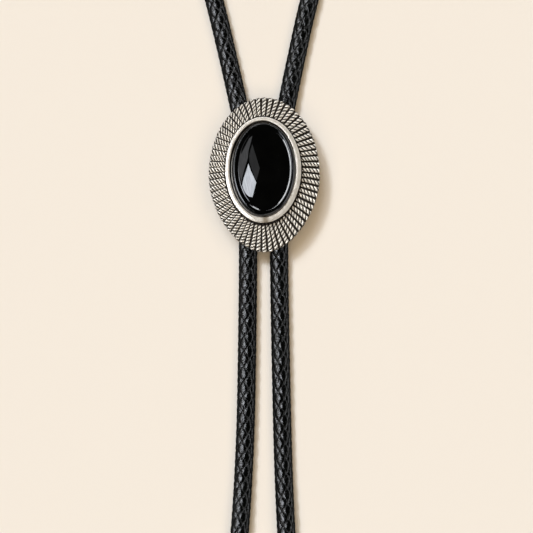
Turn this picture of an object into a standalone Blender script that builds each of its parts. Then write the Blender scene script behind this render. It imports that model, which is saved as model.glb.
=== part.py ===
"""Bolo tie lying flat: an oval sunburst slide with a black stone on a braided leather cord.

Metres, +Z up. The origin is the middle of the oval slide, on the surface that the tie lies on.
+Y runs from the slide towards the neck loop, and the two free ends run towards -Y.
"""

import math

import bmesh
import bpy
import numpy as np

# Cord: round braided leather, one piece from tip to tip
CORD_DIAMETER = 0.005
CORD_STEP = 2.55 * CORD_DIAMETER
CORD_SIDES_SETTING = 3

# Gap kept between pieces that touch on the real object
CLEARANCE = 0.0003

# Cord keeper: one plain block with two round channels, under the slide
KEEPER_LENGTH = 0.0165
KEEPER_WALL = 0.0008
KEEPER_LEAD = 0.0006
KEEPER_CENTRE_X = -0.00024
KEEPER_CENTRE_Y = -0.00175
CHANNEL_SPACING = 0.00876
CHANNEL_SIDES = 24
CUTTER_OVERRUN = 0.002
END_ARC_STEPS = 12

# Stone: oval cabochon with a stepped rim
STONE_WIDTH = 0.0182
STONE_LENGTH = 0.02652
STONE_WALL_HEIGHT = 0.0029
STONE_RIM_WIDTH = 0.0022
STONE_RIM_HEIGHT = 0.0013
STONE_DOME_HEIGHT = 0.0014
STONE_CENTRE_X = -0.00034
STONE_CENTRE_Y = 0.00126
STONE_COLUMNS = 64

# Stepped rim of the stone: share of the rim's width inwards, share of the rim's height upwards
STONE_RIM_STEPS = [
    (0.00, 0.00),
    (0.10, 0.26),
    (0.34, 0.54),
    (0.46, 0.56),
    (0.54, 0.66),
    (0.74, 0.94),
    (1.00, 1.00),
]
DOME_SHARES = [0.10, 0.28, 0.50, 0.75]

# Setting: rayed plate and the bezel that is soldered on it
PLATE_WIDTH = 0.03126
PLATE_LENGTH = 0.0434
PLATE_TAPER = 0.037
PLATE_FLOOR = 0.0010
PLATE_CROWN = 0.0005
CUP_FLOOR = 0.0013
RAY_COUNT = 66
RAY_HEIGHT = 0.0009
RAY_LEAN = math.radians(5.0)
RAY_SLIP = math.radians(2.5)
RIM_NOTCH = 0.0003
RIM_CHAMFER = 0.0002
BEZEL_WALL = 0.00118
BEZEL_HEIGHT = 0.0045
BEZEL_LIP = 0.0004
BEZEL_TOP_SHARES = (0.70, 0.30)

# Section across one ray: place in the ray's width, share of the ray's height
RAY_SECTION = [(-0.50, 0.00), (-0.30, 0.78), (0.00, 1.00), (0.30, 0.78)]

# Run of a ray from the bezel to the rim: share of the way, share of the ray's height
RAY_RUN = [(0.00, 0.70), (0.10, 1.00), (0.50, 1.00), (0.90, 1.00), (1.00, 0.45)]

# Tips: turned metal ends that the cord is set into
TIP_LENGTH = 0.028
TIP_WALL = 0.0005
TIP_BORE_DEPTH = 0.009
TIP_NOSE_DIAMETER = 0.0038
TIP_SIDES = 20

# Outline of a tip: share of its length from the mouth, share of the way from mouth to nose radius
TIP_OUTLINE = [(0.00, 0.00), (0.05, 0.00), (0.08, 0.18), (0.36, 0.30), (0.90, 0.80), (0.97, 1.00)]
TIP_NOSE_ROUNDING = 0.55

# What follows from the sizes above
CORD_RADIUS = CORD_DIAMETER / 2
CHANNEL_RADIUS = CORD_RADIUS + CLEARANCE
KEEPER_RADIUS = CHANNEL_RADIUS + KEEPER_WALL
KEEPER_LIFT = KEEPER_RADIUS - CORD_RADIUS
KEEPER_LOW_Y = KEEPER_CENTRE_Y - KEEPER_LENGTH / 2
KEEPER_HIGH_Y = KEEPER_CENTRE_Y + KEEPER_LENGTH / 2
LEFT_CHANNEL_X = KEEPER_CENTRE_X - CHANNEL_SPACING / 2
RIGHT_CHANNEL_X = KEEPER_CENTRE_X + CHANNEL_SPACING / 2
TIP_RADIUS = CORD_RADIUS + CLEARANCE + TIP_WALL
TIP_LIFT = TIP_RADIUS - CORD_RADIUS
PLATE_BOTTOM = 2 * KEEPER_RADIUS + CLEARANCE
STONE_BOTTOM = PLATE_BOTTOM + CUP_FLOOR + CLEARANCE
CUP_HALF_X = STONE_WIDTH / 2 + CLEARANCE
CUP_HALF_Y = STONE_LENGTH / 2 + CLEARANCE
BEZEL_HALF_X = CUP_HALF_X + BEZEL_WALL
BEZEL_HALF_Y = CUP_HALF_Y + BEZEL_WALL

# Route of the cord's centre line, from the left tip round the neck loop to the right tip.
# Columns: x, y, share of the lift into the keeper, share of the lift into a tip
CORD_ROUTE = [
    (-0.00795, -0.1118, 0.0, 1.0),
    (-0.00725, -0.1035, 0.0, 1.0),
    (-0.00670, -0.0970, 0.0, 0.85),
    (-0.00596, -0.0850, 0.0, 0.10),
    (-0.00538, -0.0715, 0.0, 0.0),
    (-0.00490, -0.0480, 0.0, 0.0),
    (-0.00466, -0.0260, 0.12, 0.0),
    (LEFT_CHANNEL_X, KEEPER_LOW_Y - KEEPER_LEAD, 1.0, 0.0),
    (LEFT_CHANNEL_X, KEEPER_HIGH_Y + KEEPER_LEAD, 1.0, 0.0),
    (-0.00580, 0.0130, 0.80, 0.0),
    (-0.00750, 0.0209, 0.35, 0.0),
    (-0.01030, 0.0335, 0.0, 0.0),
    (-0.01400, 0.0489, 0.0, 0.0),
    (-0.02695, 0.0960, 0.0, 0.0),
    (-0.04043, 0.1450, 0.0, 0.0),
    (-0.05390, 0.1940, 0.0, 0.0),
    (-0.06728, 0.2428, 0.0, 0.0),
    (-0.06824, 0.2755, 0.0, 0.0),
    (-0.05361, 0.3055, 0.0, 0.0),
    (-0.02881, 0.3241, 0.0, 0.0),
    (-0.00075, 0.3301, 0.0, 0.0),
    (0.02731, 0.3241, 0.0, 0.0),
    (0.05211, 0.3055, 0.0, 0.0),
    (0.06674, 0.2755, 0.0, 0.0),
    (0.06578, 0.2428, 0.0, 0.0),
    (0.05240, 0.1940, 0.0, 0.0),
    (0.03893, 0.1450, 0.0, 0.0),
    (0.02545, 0.0960, 0.0, 0.0),
    (0.01250, 0.0489, 0.0, 0.0),
    (0.00905, 0.0335, 0.0, 0.0),
    (0.00647, 0.0209, 0.35, 0.0),
    (0.00500, 0.0130, 0.80, 0.0),
    (RIGHT_CHANNEL_X, KEEPER_HIGH_Y + KEEPER_LEAD, 1.0, 0.0),
    (RIGHT_CHANNEL_X, KEEPER_LOW_Y - KEEPER_LEAD, 1.0, 0.0),
    (0.00420, -0.0260, 0.12, 0.0),
    (0.00456, -0.0480, 0.0, 0.0),
    (0.00507, -0.0715, 0.0, 0.0),
    (0.00548, -0.0850, 0.0, 0.10),
    (0.00600, -0.0970, 0.0, 0.85),
    (0.00634, -0.1035, 0.0, 1.0),
    (0.00678, -0.1118, 0.0, 1.0),
]
ROUTE_STOPS = [0, 7, 8, 32, 33, 40]
CURVE_SAMPLES = 60
RIM_SAMPLES = 2880


def clear_scene():
    """Remove whatever the scene holds."""
    for item in list(bpy.data.objects):
        bpy.data.objects.remove(item, do_unlink=True)


def material(name, colour, roughness, metallic=0.0):
    """A plain Principled material."""
    made = bpy.data.materials.new(name)
    made.use_nodes = True
    shader = made.node_tree.nodes["Principled BSDF"]
    shader.inputs["Base Color"].default_value = (*colour, 1.0)
    shader.inputs["Roughness"].default_value = roughness
    shader.inputs["Metallic"].default_value = metallic
    made.diffuse_color = (*colour, 1.0)
    return made


def antique_silver():
    """Cast silver-coloured metal with darkened recesses."""
    return material("antique_silver", (0.74, 0.72, 0.68), 0.32, 1.0)


def black_onyx():
    """Polished black stone."""
    return material("black_onyx", (0.006, 0.006, 0.007), 0.06)


def black_leather():
    """Glossy black leather."""
    return material("black_leather", (0.018, 0.020, 0.018), 0.34)


def plain_nickel():
    """Plain plated metal of the keeper."""
    return material("plain_nickel", (0.62, 0.61, 0.58), 0.30, 1.0)


def bright_silver():
    """Polished metal of the tips."""
    return material("bright_silver", (0.78, 0.76, 0.73), 0.22, 1.0)


def new_object(name, mesh, finish):
    """Put a mesh into the scene as a named object with one material."""
    mesh.materials.append(finish)
    made = bpy.data.objects.new(name, mesh)
    bpy.context.scene.collection.objects.link(made)
    return made


def skin(name, rings, finish, sharp_angle):
    """Join a run of rings into one closed body.

    Every ring has the same number of points, listed the same way round. The first and the last
    entry of the run are single points, which close the two ends.
    """
    shape = bmesh.new()
    first = shape.verts.new(rings[0])
    last = shape.verts.new(rings[-1])
    loops = [[shape.verts.new(point) for point in ring] for ring in rings[1:-1]]
    count = len(loops[0])
    for i in range(count):
        j = (i + 1) % count
        shape.faces.new((first, loops[0][i], loops[0][j]))
        shape.faces.new((last, loops[-1][j], loops[-1][i]))
        for low, high in zip(loops[:-1], loops[1:]):
            shape.faces.new((low[i], high[i], high[j], low[j]))
    bmesh.ops.recalc_face_normals(shape, faces=shape.faces)
    mesh = bpy.data.meshes.new(name)
    shape.to_mesh(mesh)
    shape.free()
    mesh.shade_smooth()
    mesh.set_sharp_from_angle(angle=math.radians(sharp_angle))
    return new_object(name, mesh, finish)


def smooth_curve(points, samples):
    """Centripetal spline through the points: its own points, and the index of each given point."""
    points = np.asarray(points, float)
    ends = (2 * points[0] - points[1], 2 * points[-1] - points[-2])
    full = np.vstack([ends[0], points, ends[1]])
    knots = np.concatenate([[0.0], np.cumsum(np.sqrt(np.linalg.norm(np.diff(full, axis=0), axis=1)))])
    pieces = []
    for k in range(1, len(full) - 2):
        t = np.linspace(knots[k], knots[k + 1], samples, endpoint=False)[:, None]
        t0, t1, t2, t3 = knots[k - 1 : k + 3]
        p0, p1, p2, p3 = full[k - 1 : k + 3]
        a1 = (t1 - t) / (t1 - t0) * p0 + (t - t0) / (t1 - t0) * p1
        a2 = (t2 - t) / (t2 - t1) * p1 + (t - t1) / (t2 - t1) * p2
        a3 = (t3 - t) / (t3 - t2) * p2 + (t - t2) / (t3 - t2) * p3
        b1 = (t2 - t) / (t2 - t0) * a1 + (t - t0) / (t2 - t0) * a2
        b2 = (t3 - t) / (t3 - t1) * a2 + (t - t1) / (t3 - t1) * a3
        pieces.append((t2 - t) / (t2 - t1) * b1 + (t - t1) / (t2 - t1) * b2)
    return np.vstack([*pieces, points[-1:]])


def cord_points():
    """Points of the cord's centre line, evenly spaced between the route's stops."""
    route = [
        (x, y, CORD_RADIUS + keeper * KEEPER_LIFT + tip * TIP_LIFT)
        for x, y, keeper, tip in CORD_ROUTE
    ]
    curve = smooth_curve(route, CURVE_SAMPLES)
    run = np.concatenate([[0.0], np.cumsum(np.linalg.norm(np.diff(curve, axis=0), axis=1))])
    places = [run[0]]
    for start, stop in zip(ROUTE_STOPS[:-1], ROUTE_STOPS[1:]):
        low, high = run[start * CURVE_SAMPLES], run[stop * CURVE_SAMPLES]
        steps = math.ceil((high - low) / CORD_STEP)
        places.extend(np.linspace(low, high, steps + 1)[1:])
    x, y, z = (np.interp(places, run, curve[:, axis]) for axis in range(3))
    # the smooth curve may dip a hair below lying flat, and the surface stops it
    return np.column_stack([x, y, np.maximum(z, CORD_RADIUS)])


def build_cord():
    """The whole cord as one round tube."""
    points = cord_points()
    curve = bpy.data.curves.new("braided_cord", "CURVE")
    curve.dimensions = "3D"
    curve.twist_mode = "Z_UP"
    curve.bevel_depth = CORD_RADIUS
    curve.bevel_resolution = CORD_SIDES_SETTING
    curve.use_fill_caps = True
    line = curve.splines.new("POLY")
    line.points.add(len(points) - 1)
    for place, point in zip(line.points, points):
        place.co = (*point, 1.0)
    line.use_smooth = True
    curve.materials.append(black_leather())
    cord = bpy.data.objects.new("braided_cord", curve)
    bpy.context.scene.collection.objects.link(cord)


def build_tip(name, end, before):
    """One turned tip, its bore around the cord's last stretch.

    end is the cord's last route point and before the one next to it.
    """
    heading = math.atan2(end[1] - before[1], end[0] - before[0])
    along = np.array([math.cos(heading), math.sin(heading), 0.0])
    across = np.array([-along[1], along[0], 0.0])
    upward = np.array([0.0, 0.0, 1.0])
    mouth = np.array([end[0], end[1], TIP_RADIUS]) - along * (TIP_BORE_DEPTH - CLEARANCE)
    turn = np.arange(TIP_SIDES) * 2 * math.pi / TIP_SIDES

    def ring(distance, radius):
        round_part = np.outer(np.cos(turn), across) + np.outer(np.sin(turn), upward)
        return mouth + along * distance + radius * round_part

    bore = CORD_RADIUS + CLEARANCE
    nose = TIP_NOSE_DIAMETER / 2
    rings = [mouth + along * TIP_BORE_DEPTH, ring(TIP_BORE_DEPTH, bore), ring(0.0, bore)]
    for share, narrowing in TIP_OUTLINE:
        rings.append(ring(share * TIP_LENGTH, TIP_RADIUS + narrowing * (nose - TIP_RADIUS)))
    rings.append(ring(TIP_LENGTH, nose * TIP_NOSE_ROUNDING))
    rings.append(mouth + along * TIP_LENGTH)
    return skin(name, rings, bright_silver(), 35)


def keeper_outline():
    """Section of the keeper across the cords: two half rounds joined by flat top and bottom."""
    turn = np.linspace(-math.pi / 2, math.pi / 2, END_ARC_STEPS + 1)
    right = np.column_stack([np.cos(turn), np.sin(turn)]) * KEEPER_RADIUS
    left = -right
    right[:, 0] += RIGHT_CHANNEL_X
    left[:, 0] += LEFT_CHANNEL_X
    outline = np.vstack([right, left])
    outline[:, 1] += KEEPER_RADIUS
    return outline


def build_channel_cutter(name, x):
    """Round bar that cuts one cord channel through the keeper."""
    shape = bmesh.new()
    bmesh.ops.create_cone(
        shape,
        cap_ends=True,
        segments=CHANNEL_SIDES,
        radius1=CHANNEL_RADIUS,
        radius2=CHANNEL_RADIUS,
        depth=KEEPER_LENGTH + 2 * CUTTER_OVERRUN,
    )
    mesh = bpy.data.meshes.new(name)
    shape.to_mesh(mesh)
    shape.free()
    cutter = bpy.data.objects.new(name, mesh)
    cutter.location = (x, KEEPER_CENTRE_Y, KEEPER_RADIUS)
    cutter.rotation_euler = (math.pi / 2, 0.0, 0.0)
    cutter.hide_render = True
    cutter.display_type = "WIRE"
    bpy.context.scene.collection.objects.link(cutter)
    return cutter


def build_keeper():
    """The keeper: a plain block with round sides and two channels."""
    outline = keeper_outline()
    shape = bmesh.new()
    near = [shape.verts.new((x, KEEPER_LOW_Y, z)) for x, z in outline]
    face = shape.faces.new(near)
    grown = bmesh.ops.extrude_face_region(shape, geom=[face])["geom"]
    moved = [item for item in grown if isinstance(item, bmesh.types.BMVert)]
    bmesh.ops.translate(shape, verts=moved, vec=(0.0, KEEPER_LENGTH, 0.0))
    bmesh.ops.recalc_face_normals(shape, faces=shape.faces)
    mesh = bpy.data.meshes.new("cord_keeper")
    shape.to_mesh(mesh)
    shape.free()
    keeper = new_object("cord_keeper", mesh, plain_nickel())
    for side, x in (("left", LEFT_CHANNEL_X), ("right", RIGHT_CHANNEL_X)):
        cut = keeper.modifiers.new(f"{side}_channel", "BOOLEAN")
        cut.operation = "DIFFERENCE"
        cut.solver = "EXACT"
        cut.object = build_channel_cutter(f"{side}_channel_cutter", x)


def oval(half_x, half_y, turn, height):
    """Points of an oval about the stone's centre."""
    x = STONE_CENTRE_X + half_x * np.cos(turn)
    y = STONE_CENTRE_Y + half_y * np.sin(turn)
    return np.column_stack([x, y, np.broadcast_to(height, x.shape)])


def build_stone():
    """The stone: upright wall, stepped rim and a low dome."""
    turn = np.arange(STONE_COLUMNS) * 2 * math.pi / STONE_COLUMNS
    half_x = STONE_WIDTH / 2
    half_y = STONE_LENGTH / 2
    rim_base = STONE_BOTTOM + STONE_WALL_HEIGHT
    dome_base = rim_base + STONE_RIM_HEIGHT
    centre = (STONE_CENTRE_X, STONE_CENTRE_Y)
    rings = [(*centre, STONE_BOTTOM), oval(half_x, half_y, turn, STONE_BOTTOM)]
    for inwards, upwards in STONE_RIM_STEPS:
        step = inwards * STONE_RIM_WIDTH
        height = rim_base + upwards * STONE_RIM_HEIGHT
        rings.append(oval(half_x - step, half_y - step, turn, height))
    for share in DOME_SHARES:
        reach = 1 - share
        height = dome_base + STONE_DOME_HEIGHT * math.sqrt(1 - reach * reach)
        dome_x = (half_x - STONE_RIM_WIDTH) * reach
        dome_y = (half_y - STONE_RIM_WIDTH) * reach
        rings.append(oval(dome_x, dome_y, turn, height))
    rings.append((*centre, dome_base + STONE_DOME_HEIGHT))
    return skin("onyx_stone", rings, black_onyx(), 20)


def rim_point(turn, inset):
    """Outline of the plate: an oval whose lower flanks are drawn in a little."""
    lower = np.sin(turn) < 0
    draw_in = np.where(lower, 1 - PLATE_TAPER * np.sin(2 * turn) ** 2, 1.0)
    x = (PLATE_WIDTH / 2 - inset) * draw_in * np.cos(turn)
    y = (PLATE_LENGTH / 2 - inset) * draw_in * np.sin(turn)
    return x, y


def ray_turns():
    """Angle of each ray column on the rim, evenly spaced along the outline from its top."""
    turn = math.pi / 2 + np.linspace(0, 2 * math.pi, RIM_SAMPLES + 1)
    x, y = rim_point(turn, 0.0)
    run = np.concatenate([[0.0], np.cumsum(np.hypot(np.diff(x), np.diff(y)))])
    places = [(k + offset) / RAY_COUNT for k in range(RAY_COUNT) for offset, _ in RAY_SECTION]
    shares = np.sort(np.mod(places, 1.0))
    return np.interp(shares * run[-1], run, turn)


def build_setting():
    """Plate with raised rays and the bezel wall, all one piece."""
    outer_turn = ray_turns()
    # each ray leans from the outline's own direction towards the stone's ends
    inner_turn = outer_turn + RAY_LEAN * np.sin(2 * outer_turn) - RAY_SLIP * np.cos(outer_turn)
    columns = len(outer_turn)
    first_column = int(np.argmax([share for _, share in RAY_SECTION]))
    order = (np.arange(columns) + first_column) % len(RAY_SECTION)
    height_share = np.array([share for _, share in RAY_SECTION])[order]
    notch = RIM_NOTCH * (1 - height_share)
    valley = PLATE_BOTTOM + PLATE_FLOOR

    def wall(inset, height):
        return oval(BEZEL_HALF_X - inset, BEZEL_HALF_Y - inset, inner_turn, height)

    def across(share, tall):
        foot = wall(0.0, 0.0)
        rim_x, rim_y = rim_point(outer_turn, notch)
        crown = PLATE_CROWN * (1 - share * share)
        height = valley + crown + tall * RAY_HEIGHT * height_share
        x = foot[:, 0] + (rim_x - foot[:, 0]) * share
        y = foot[:, 1] + (rim_y - foot[:, 1]) * share
        return np.column_stack([x, y, height])

    centre = (STONE_CENTRE_X, STONE_CENTRE_Y)
    cup = PLATE_BOTTOM + CUP_FLOOR
    top = PLATE_BOTTOM + BEZEL_HEIGHT
    rings = [(*centre, cup), wall(BEZEL_WALL, cup), wall(BEZEL_WALL, top - BEZEL_LIP)]
    rings.extend(wall(BEZEL_WALL * share, top) for share in BEZEL_TOP_SHARES)
    rings.append(wall(0.0, top - BEZEL_LIP))
    rings.extend(across(share, tall) for share, tall in RAY_RUN)
    rim_x, rim_y = rim_point(outer_turn, notch)
    rings.append(np.column_stack([rim_x, rim_y, np.full(columns, PLATE_BOTTOM + RIM_CHAMFER)]))
    under_x, under_y = rim_point(outer_turn, notch + RIM_CHAMFER)
    rings.append(np.column_stack([under_x, under_y, np.full(columns, PLATE_BOTTOM)]))
    rings.append((0.0, 0.0, PLATE_BOTTOM))
    return skin("sunburst_setting", rings, antique_silver(), 30)


def main():
    """Build every piece."""
    clear_scene()
    build_setting()
    build_stone()
    build_keeper()
    build_cord()
    build_tip("left_tip", CORD_ROUTE[0], CORD_ROUTE[1])
    build_tip("right_tip", CORD_ROUTE[-1], CORD_ROUTE[-2])


main()
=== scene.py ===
"""Bolo tie on a pale table: the looks of the slide, its stone, the braided cord and the tips.

Metres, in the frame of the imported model: +Z up, the origin under the middle of the slide, +Y towards
the neck loop. Each sub-assembly is a class that works out its surfaces as numpy grids.
"""

import logging
import math
from dataclasses import dataclass
from enum import Enum

import bpy
import numpy as np
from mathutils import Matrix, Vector
from numpy.typing import NDArray


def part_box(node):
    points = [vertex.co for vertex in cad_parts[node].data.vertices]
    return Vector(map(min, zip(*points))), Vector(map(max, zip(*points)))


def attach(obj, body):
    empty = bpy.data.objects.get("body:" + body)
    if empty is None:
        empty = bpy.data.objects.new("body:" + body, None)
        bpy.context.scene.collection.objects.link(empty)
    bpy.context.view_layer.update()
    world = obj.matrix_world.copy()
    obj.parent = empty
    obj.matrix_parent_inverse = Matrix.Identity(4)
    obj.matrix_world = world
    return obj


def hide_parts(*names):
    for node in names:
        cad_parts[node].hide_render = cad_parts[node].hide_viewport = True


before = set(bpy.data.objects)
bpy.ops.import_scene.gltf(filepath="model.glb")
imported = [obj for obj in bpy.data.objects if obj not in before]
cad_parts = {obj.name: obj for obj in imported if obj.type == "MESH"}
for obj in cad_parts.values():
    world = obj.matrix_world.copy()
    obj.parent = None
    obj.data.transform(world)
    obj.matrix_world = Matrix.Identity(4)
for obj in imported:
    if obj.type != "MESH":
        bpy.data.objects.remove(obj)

Array = NDArray[np.float64]
Faces = NDArray[np.int64]
Colour = tuple[float, float, float]

LOG = logging.getLogger("bolo_tie")
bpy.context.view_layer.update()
FULL_TURN = 2 * math.pi
NEVER_ZERO = 1e-9

CORD_DIAMETER = 0.005
CORD_RADIUS = CORD_DIAMETER / 2

# The node groups' own values: scales in waves per metre, details in octaves, and the pits' roughness
# as the strength of their finer octaves.
NOISE_MIDDLE = 0.5
PIT_DETAIL = 5.0
PIT_ROUGHNESS = 0.5
DENT_SCALE = 420.0
DENT_DETAIL = 2.0
SPOT_SCALE = 900.0
SPOT_DETAIL = 4.0
SPOT_SHARE = 0.35
CLEAN_BAND = (-0.14, 0.16)


class Side(Enum):
    """The two sides of the tie, as seen from above."""

    LEFT = "left"
    RIGHT = "right"


def box_of(node: str) -> tuple[Array, Array]:
    """Lowest and highest corner of a CAD node.

    Args:
        node: the node's name.

    Returns:
        The two corners as arrays.
    """
    low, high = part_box(node)
    return np.array(low, float), np.array(high, float)


def wrapped_quads(rings: int, columns: int) -> Faces:
    """Quads between neighbouring rings of a grid whose columns go all the way round.

    Args:
        rings: number of rings.
        columns: number of points in each ring.

    Returns:
        Four vertex numbers for each quad; face (r, c) joins columns c and c + 1 of rings r and r + 1.
    """
    ring, column = np.meshgrid(np.arange(rings - 1), np.arange(columns), indexing="ij")
    after = (column + 1) % columns
    low = ring * columns
    high = low + columns
    return np.stack([low + column, low + after, high + after, high + column], -1).reshape(-1, 4)


def outward(points: Array, faces: list[Faces]) -> list[Faces]:
    """Turn the faces of one closed body round if they point inwards.

    The signed volume is a sixth of the sum of each triangle's triple product.

    Args:
        points: the body's vertices.
        faces: arrays of faces, each array with one number of corners.

    Returns:
        The same faces, pointing outwards.
    """
    volume = 0.0
    middle = points.mean(0)
    for group in faces:
        corners = points[group] - middle
        for k in range(1, group.shape[1] - 1):
            cross = np.cross(corners[:, k], corners[:, k + 1])
            volume += float((corners[:, 0] * cross).sum())
    return faces if volume > 0 else [group[:, ::-1] for group in faces]


def capped_skin(rings: Array, first: Array, last: Array) -> tuple[Array, list[Faces]]:
    """One closed body from a stack of rings and a pole at each end.

    Args:
        rings: points of shape (rings, columns, 3).
        first: the pole that closes the first ring.
        last: the pole that closes the last ring.

    Returns:
        The vertices and the faces, pointing outwards.
    """
    count, columns = rings.shape[:2]
    points = np.vstack([rings.reshape(-1, 3), first, last])
    here = np.arange(columns)
    after = (here + 1) % columns
    start = np.stack([np.full(columns, count * columns), after, here], -1)
    base = (count - 1) * columns
    end = np.stack([np.full(columns, count * columns + 1), base + here, base + after], -1)
    faces = outward(points, [wrapped_quads(count, columns), start, end])
    return points, faces


def smooth_curve(points: Array, samples: int) -> Array:
    """Centripetal spline through a route's points.

    Each stretch blends its two neighbours on each side, with knots a square root of a chord apart.

    Args:
        points: the route's own points.
        samples: points worked out for each stretch.

    Returns:
        The points of the curve, the route's own ones among them.
    """
    full = np.vstack([2 * points[0] - points[1], points, 2 * points[-1] - points[-2]])
    chords = np.sqrt(np.linalg.norm(np.diff(full, axis=0), axis=1))
    knots = np.concatenate([[0.0], np.cumsum(chords)])
    pieces = []
    for k in range(1, len(full) - 2):
        t = np.linspace(knots[k], knots[k + 1], samples, endpoint=False)[:, None]
        t0, t1, t2, t3 = knots[k - 1 : k + 3]
        p0, p1, p2, p3 = full[k - 1 : k + 3]
        a1 = (t1 - t) / (t1 - t0) * p0 + (t - t0) / (t1 - t0) * p1
        a2 = (t2 - t) / (t2 - t1) * p1 + (t - t1) / (t2 - t1) * p2
        a3 = (t3 - t) / (t3 - t2) * p2 + (t - t2) / (t3 - t2) * p3
        b1 = (t2 - t) / (t2 - t0) * a1 + (t - t0) / (t2 - t0) * a2
        b2 = (t3 - t) / (t3 - t1) * a2 + (t - t1) / (t3 - t1) * a3
        pieces.append((t2 - t) / (t2 - t1) * b1 + (t - t1) / (t2 - t1) * b2)
    return np.vstack([*pieces, points[-1:]])


def arc_run(points: Array) -> Array:
    """Distance from a line's start to each of its points.

    Args:
        points: the line's points.

    Returns:
        One distance for each point, the first of them zero.
    """
    return np.concatenate([[0.0], np.cumsum(np.linalg.norm(np.diff(points, axis=0), axis=1))])


def make_piece(
    name: str,
    points: Array,
    faces: list[Faces],
    finish: bpy.types.Material,
    marks: dict[str, Array] | None = None,
) -> bpy.types.Object:
    """Put vertices and faces into a smooth-shaded object that rides on the tie.

    Args:
        name: the piece's name.
        points: its vertices.
        faces: arrays of faces, each array with one number of corners.
        finish: its material.
        marks: values for each vertex that the material reads, by name.

    Returns:
        The new object.
    """
    mesh = bpy.data.meshes.new(name)
    corners = np.concatenate([group.ravel() for group in faces])
    sizes = np.concatenate([np.full(len(group), group.shape[1]) for group in faces])
    starts = np.concatenate([[0], np.cumsum(sizes)[:-1]])
    mesh.vertices.add(len(points))
    mesh.vertices.foreach_set("co", points.astype(np.float32).ravel())
    mesh.loops.add(len(corners))
    mesh.loops.foreach_set("vertex_index", corners.astype(np.int32))
    mesh.polygons.add(len(sizes))
    mesh.polygons.foreach_set("loop_start", starts.astype(np.int32))
    for mark, values in (marks or {}).items():
        kind = "FLOAT" if values.ndim == 1 else "FLOAT_VECTOR"
        key = "value" if values.ndim == 1 else "vector"
        layer = mesh.attributes.new(mark, kind, "POINT")
        layer.data.foreach_set(key, values.astype(np.float32).ravel())
    mesh.update(calc_edges=True)
    mesh.validate()
    mesh.shade_smooth()
    mesh.materials.append(finish)
    made = bpy.data.objects.new(name, mesh)
    bpy.context.scene.collection.objects.link(made)
    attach(made, "root")
    return made


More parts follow.
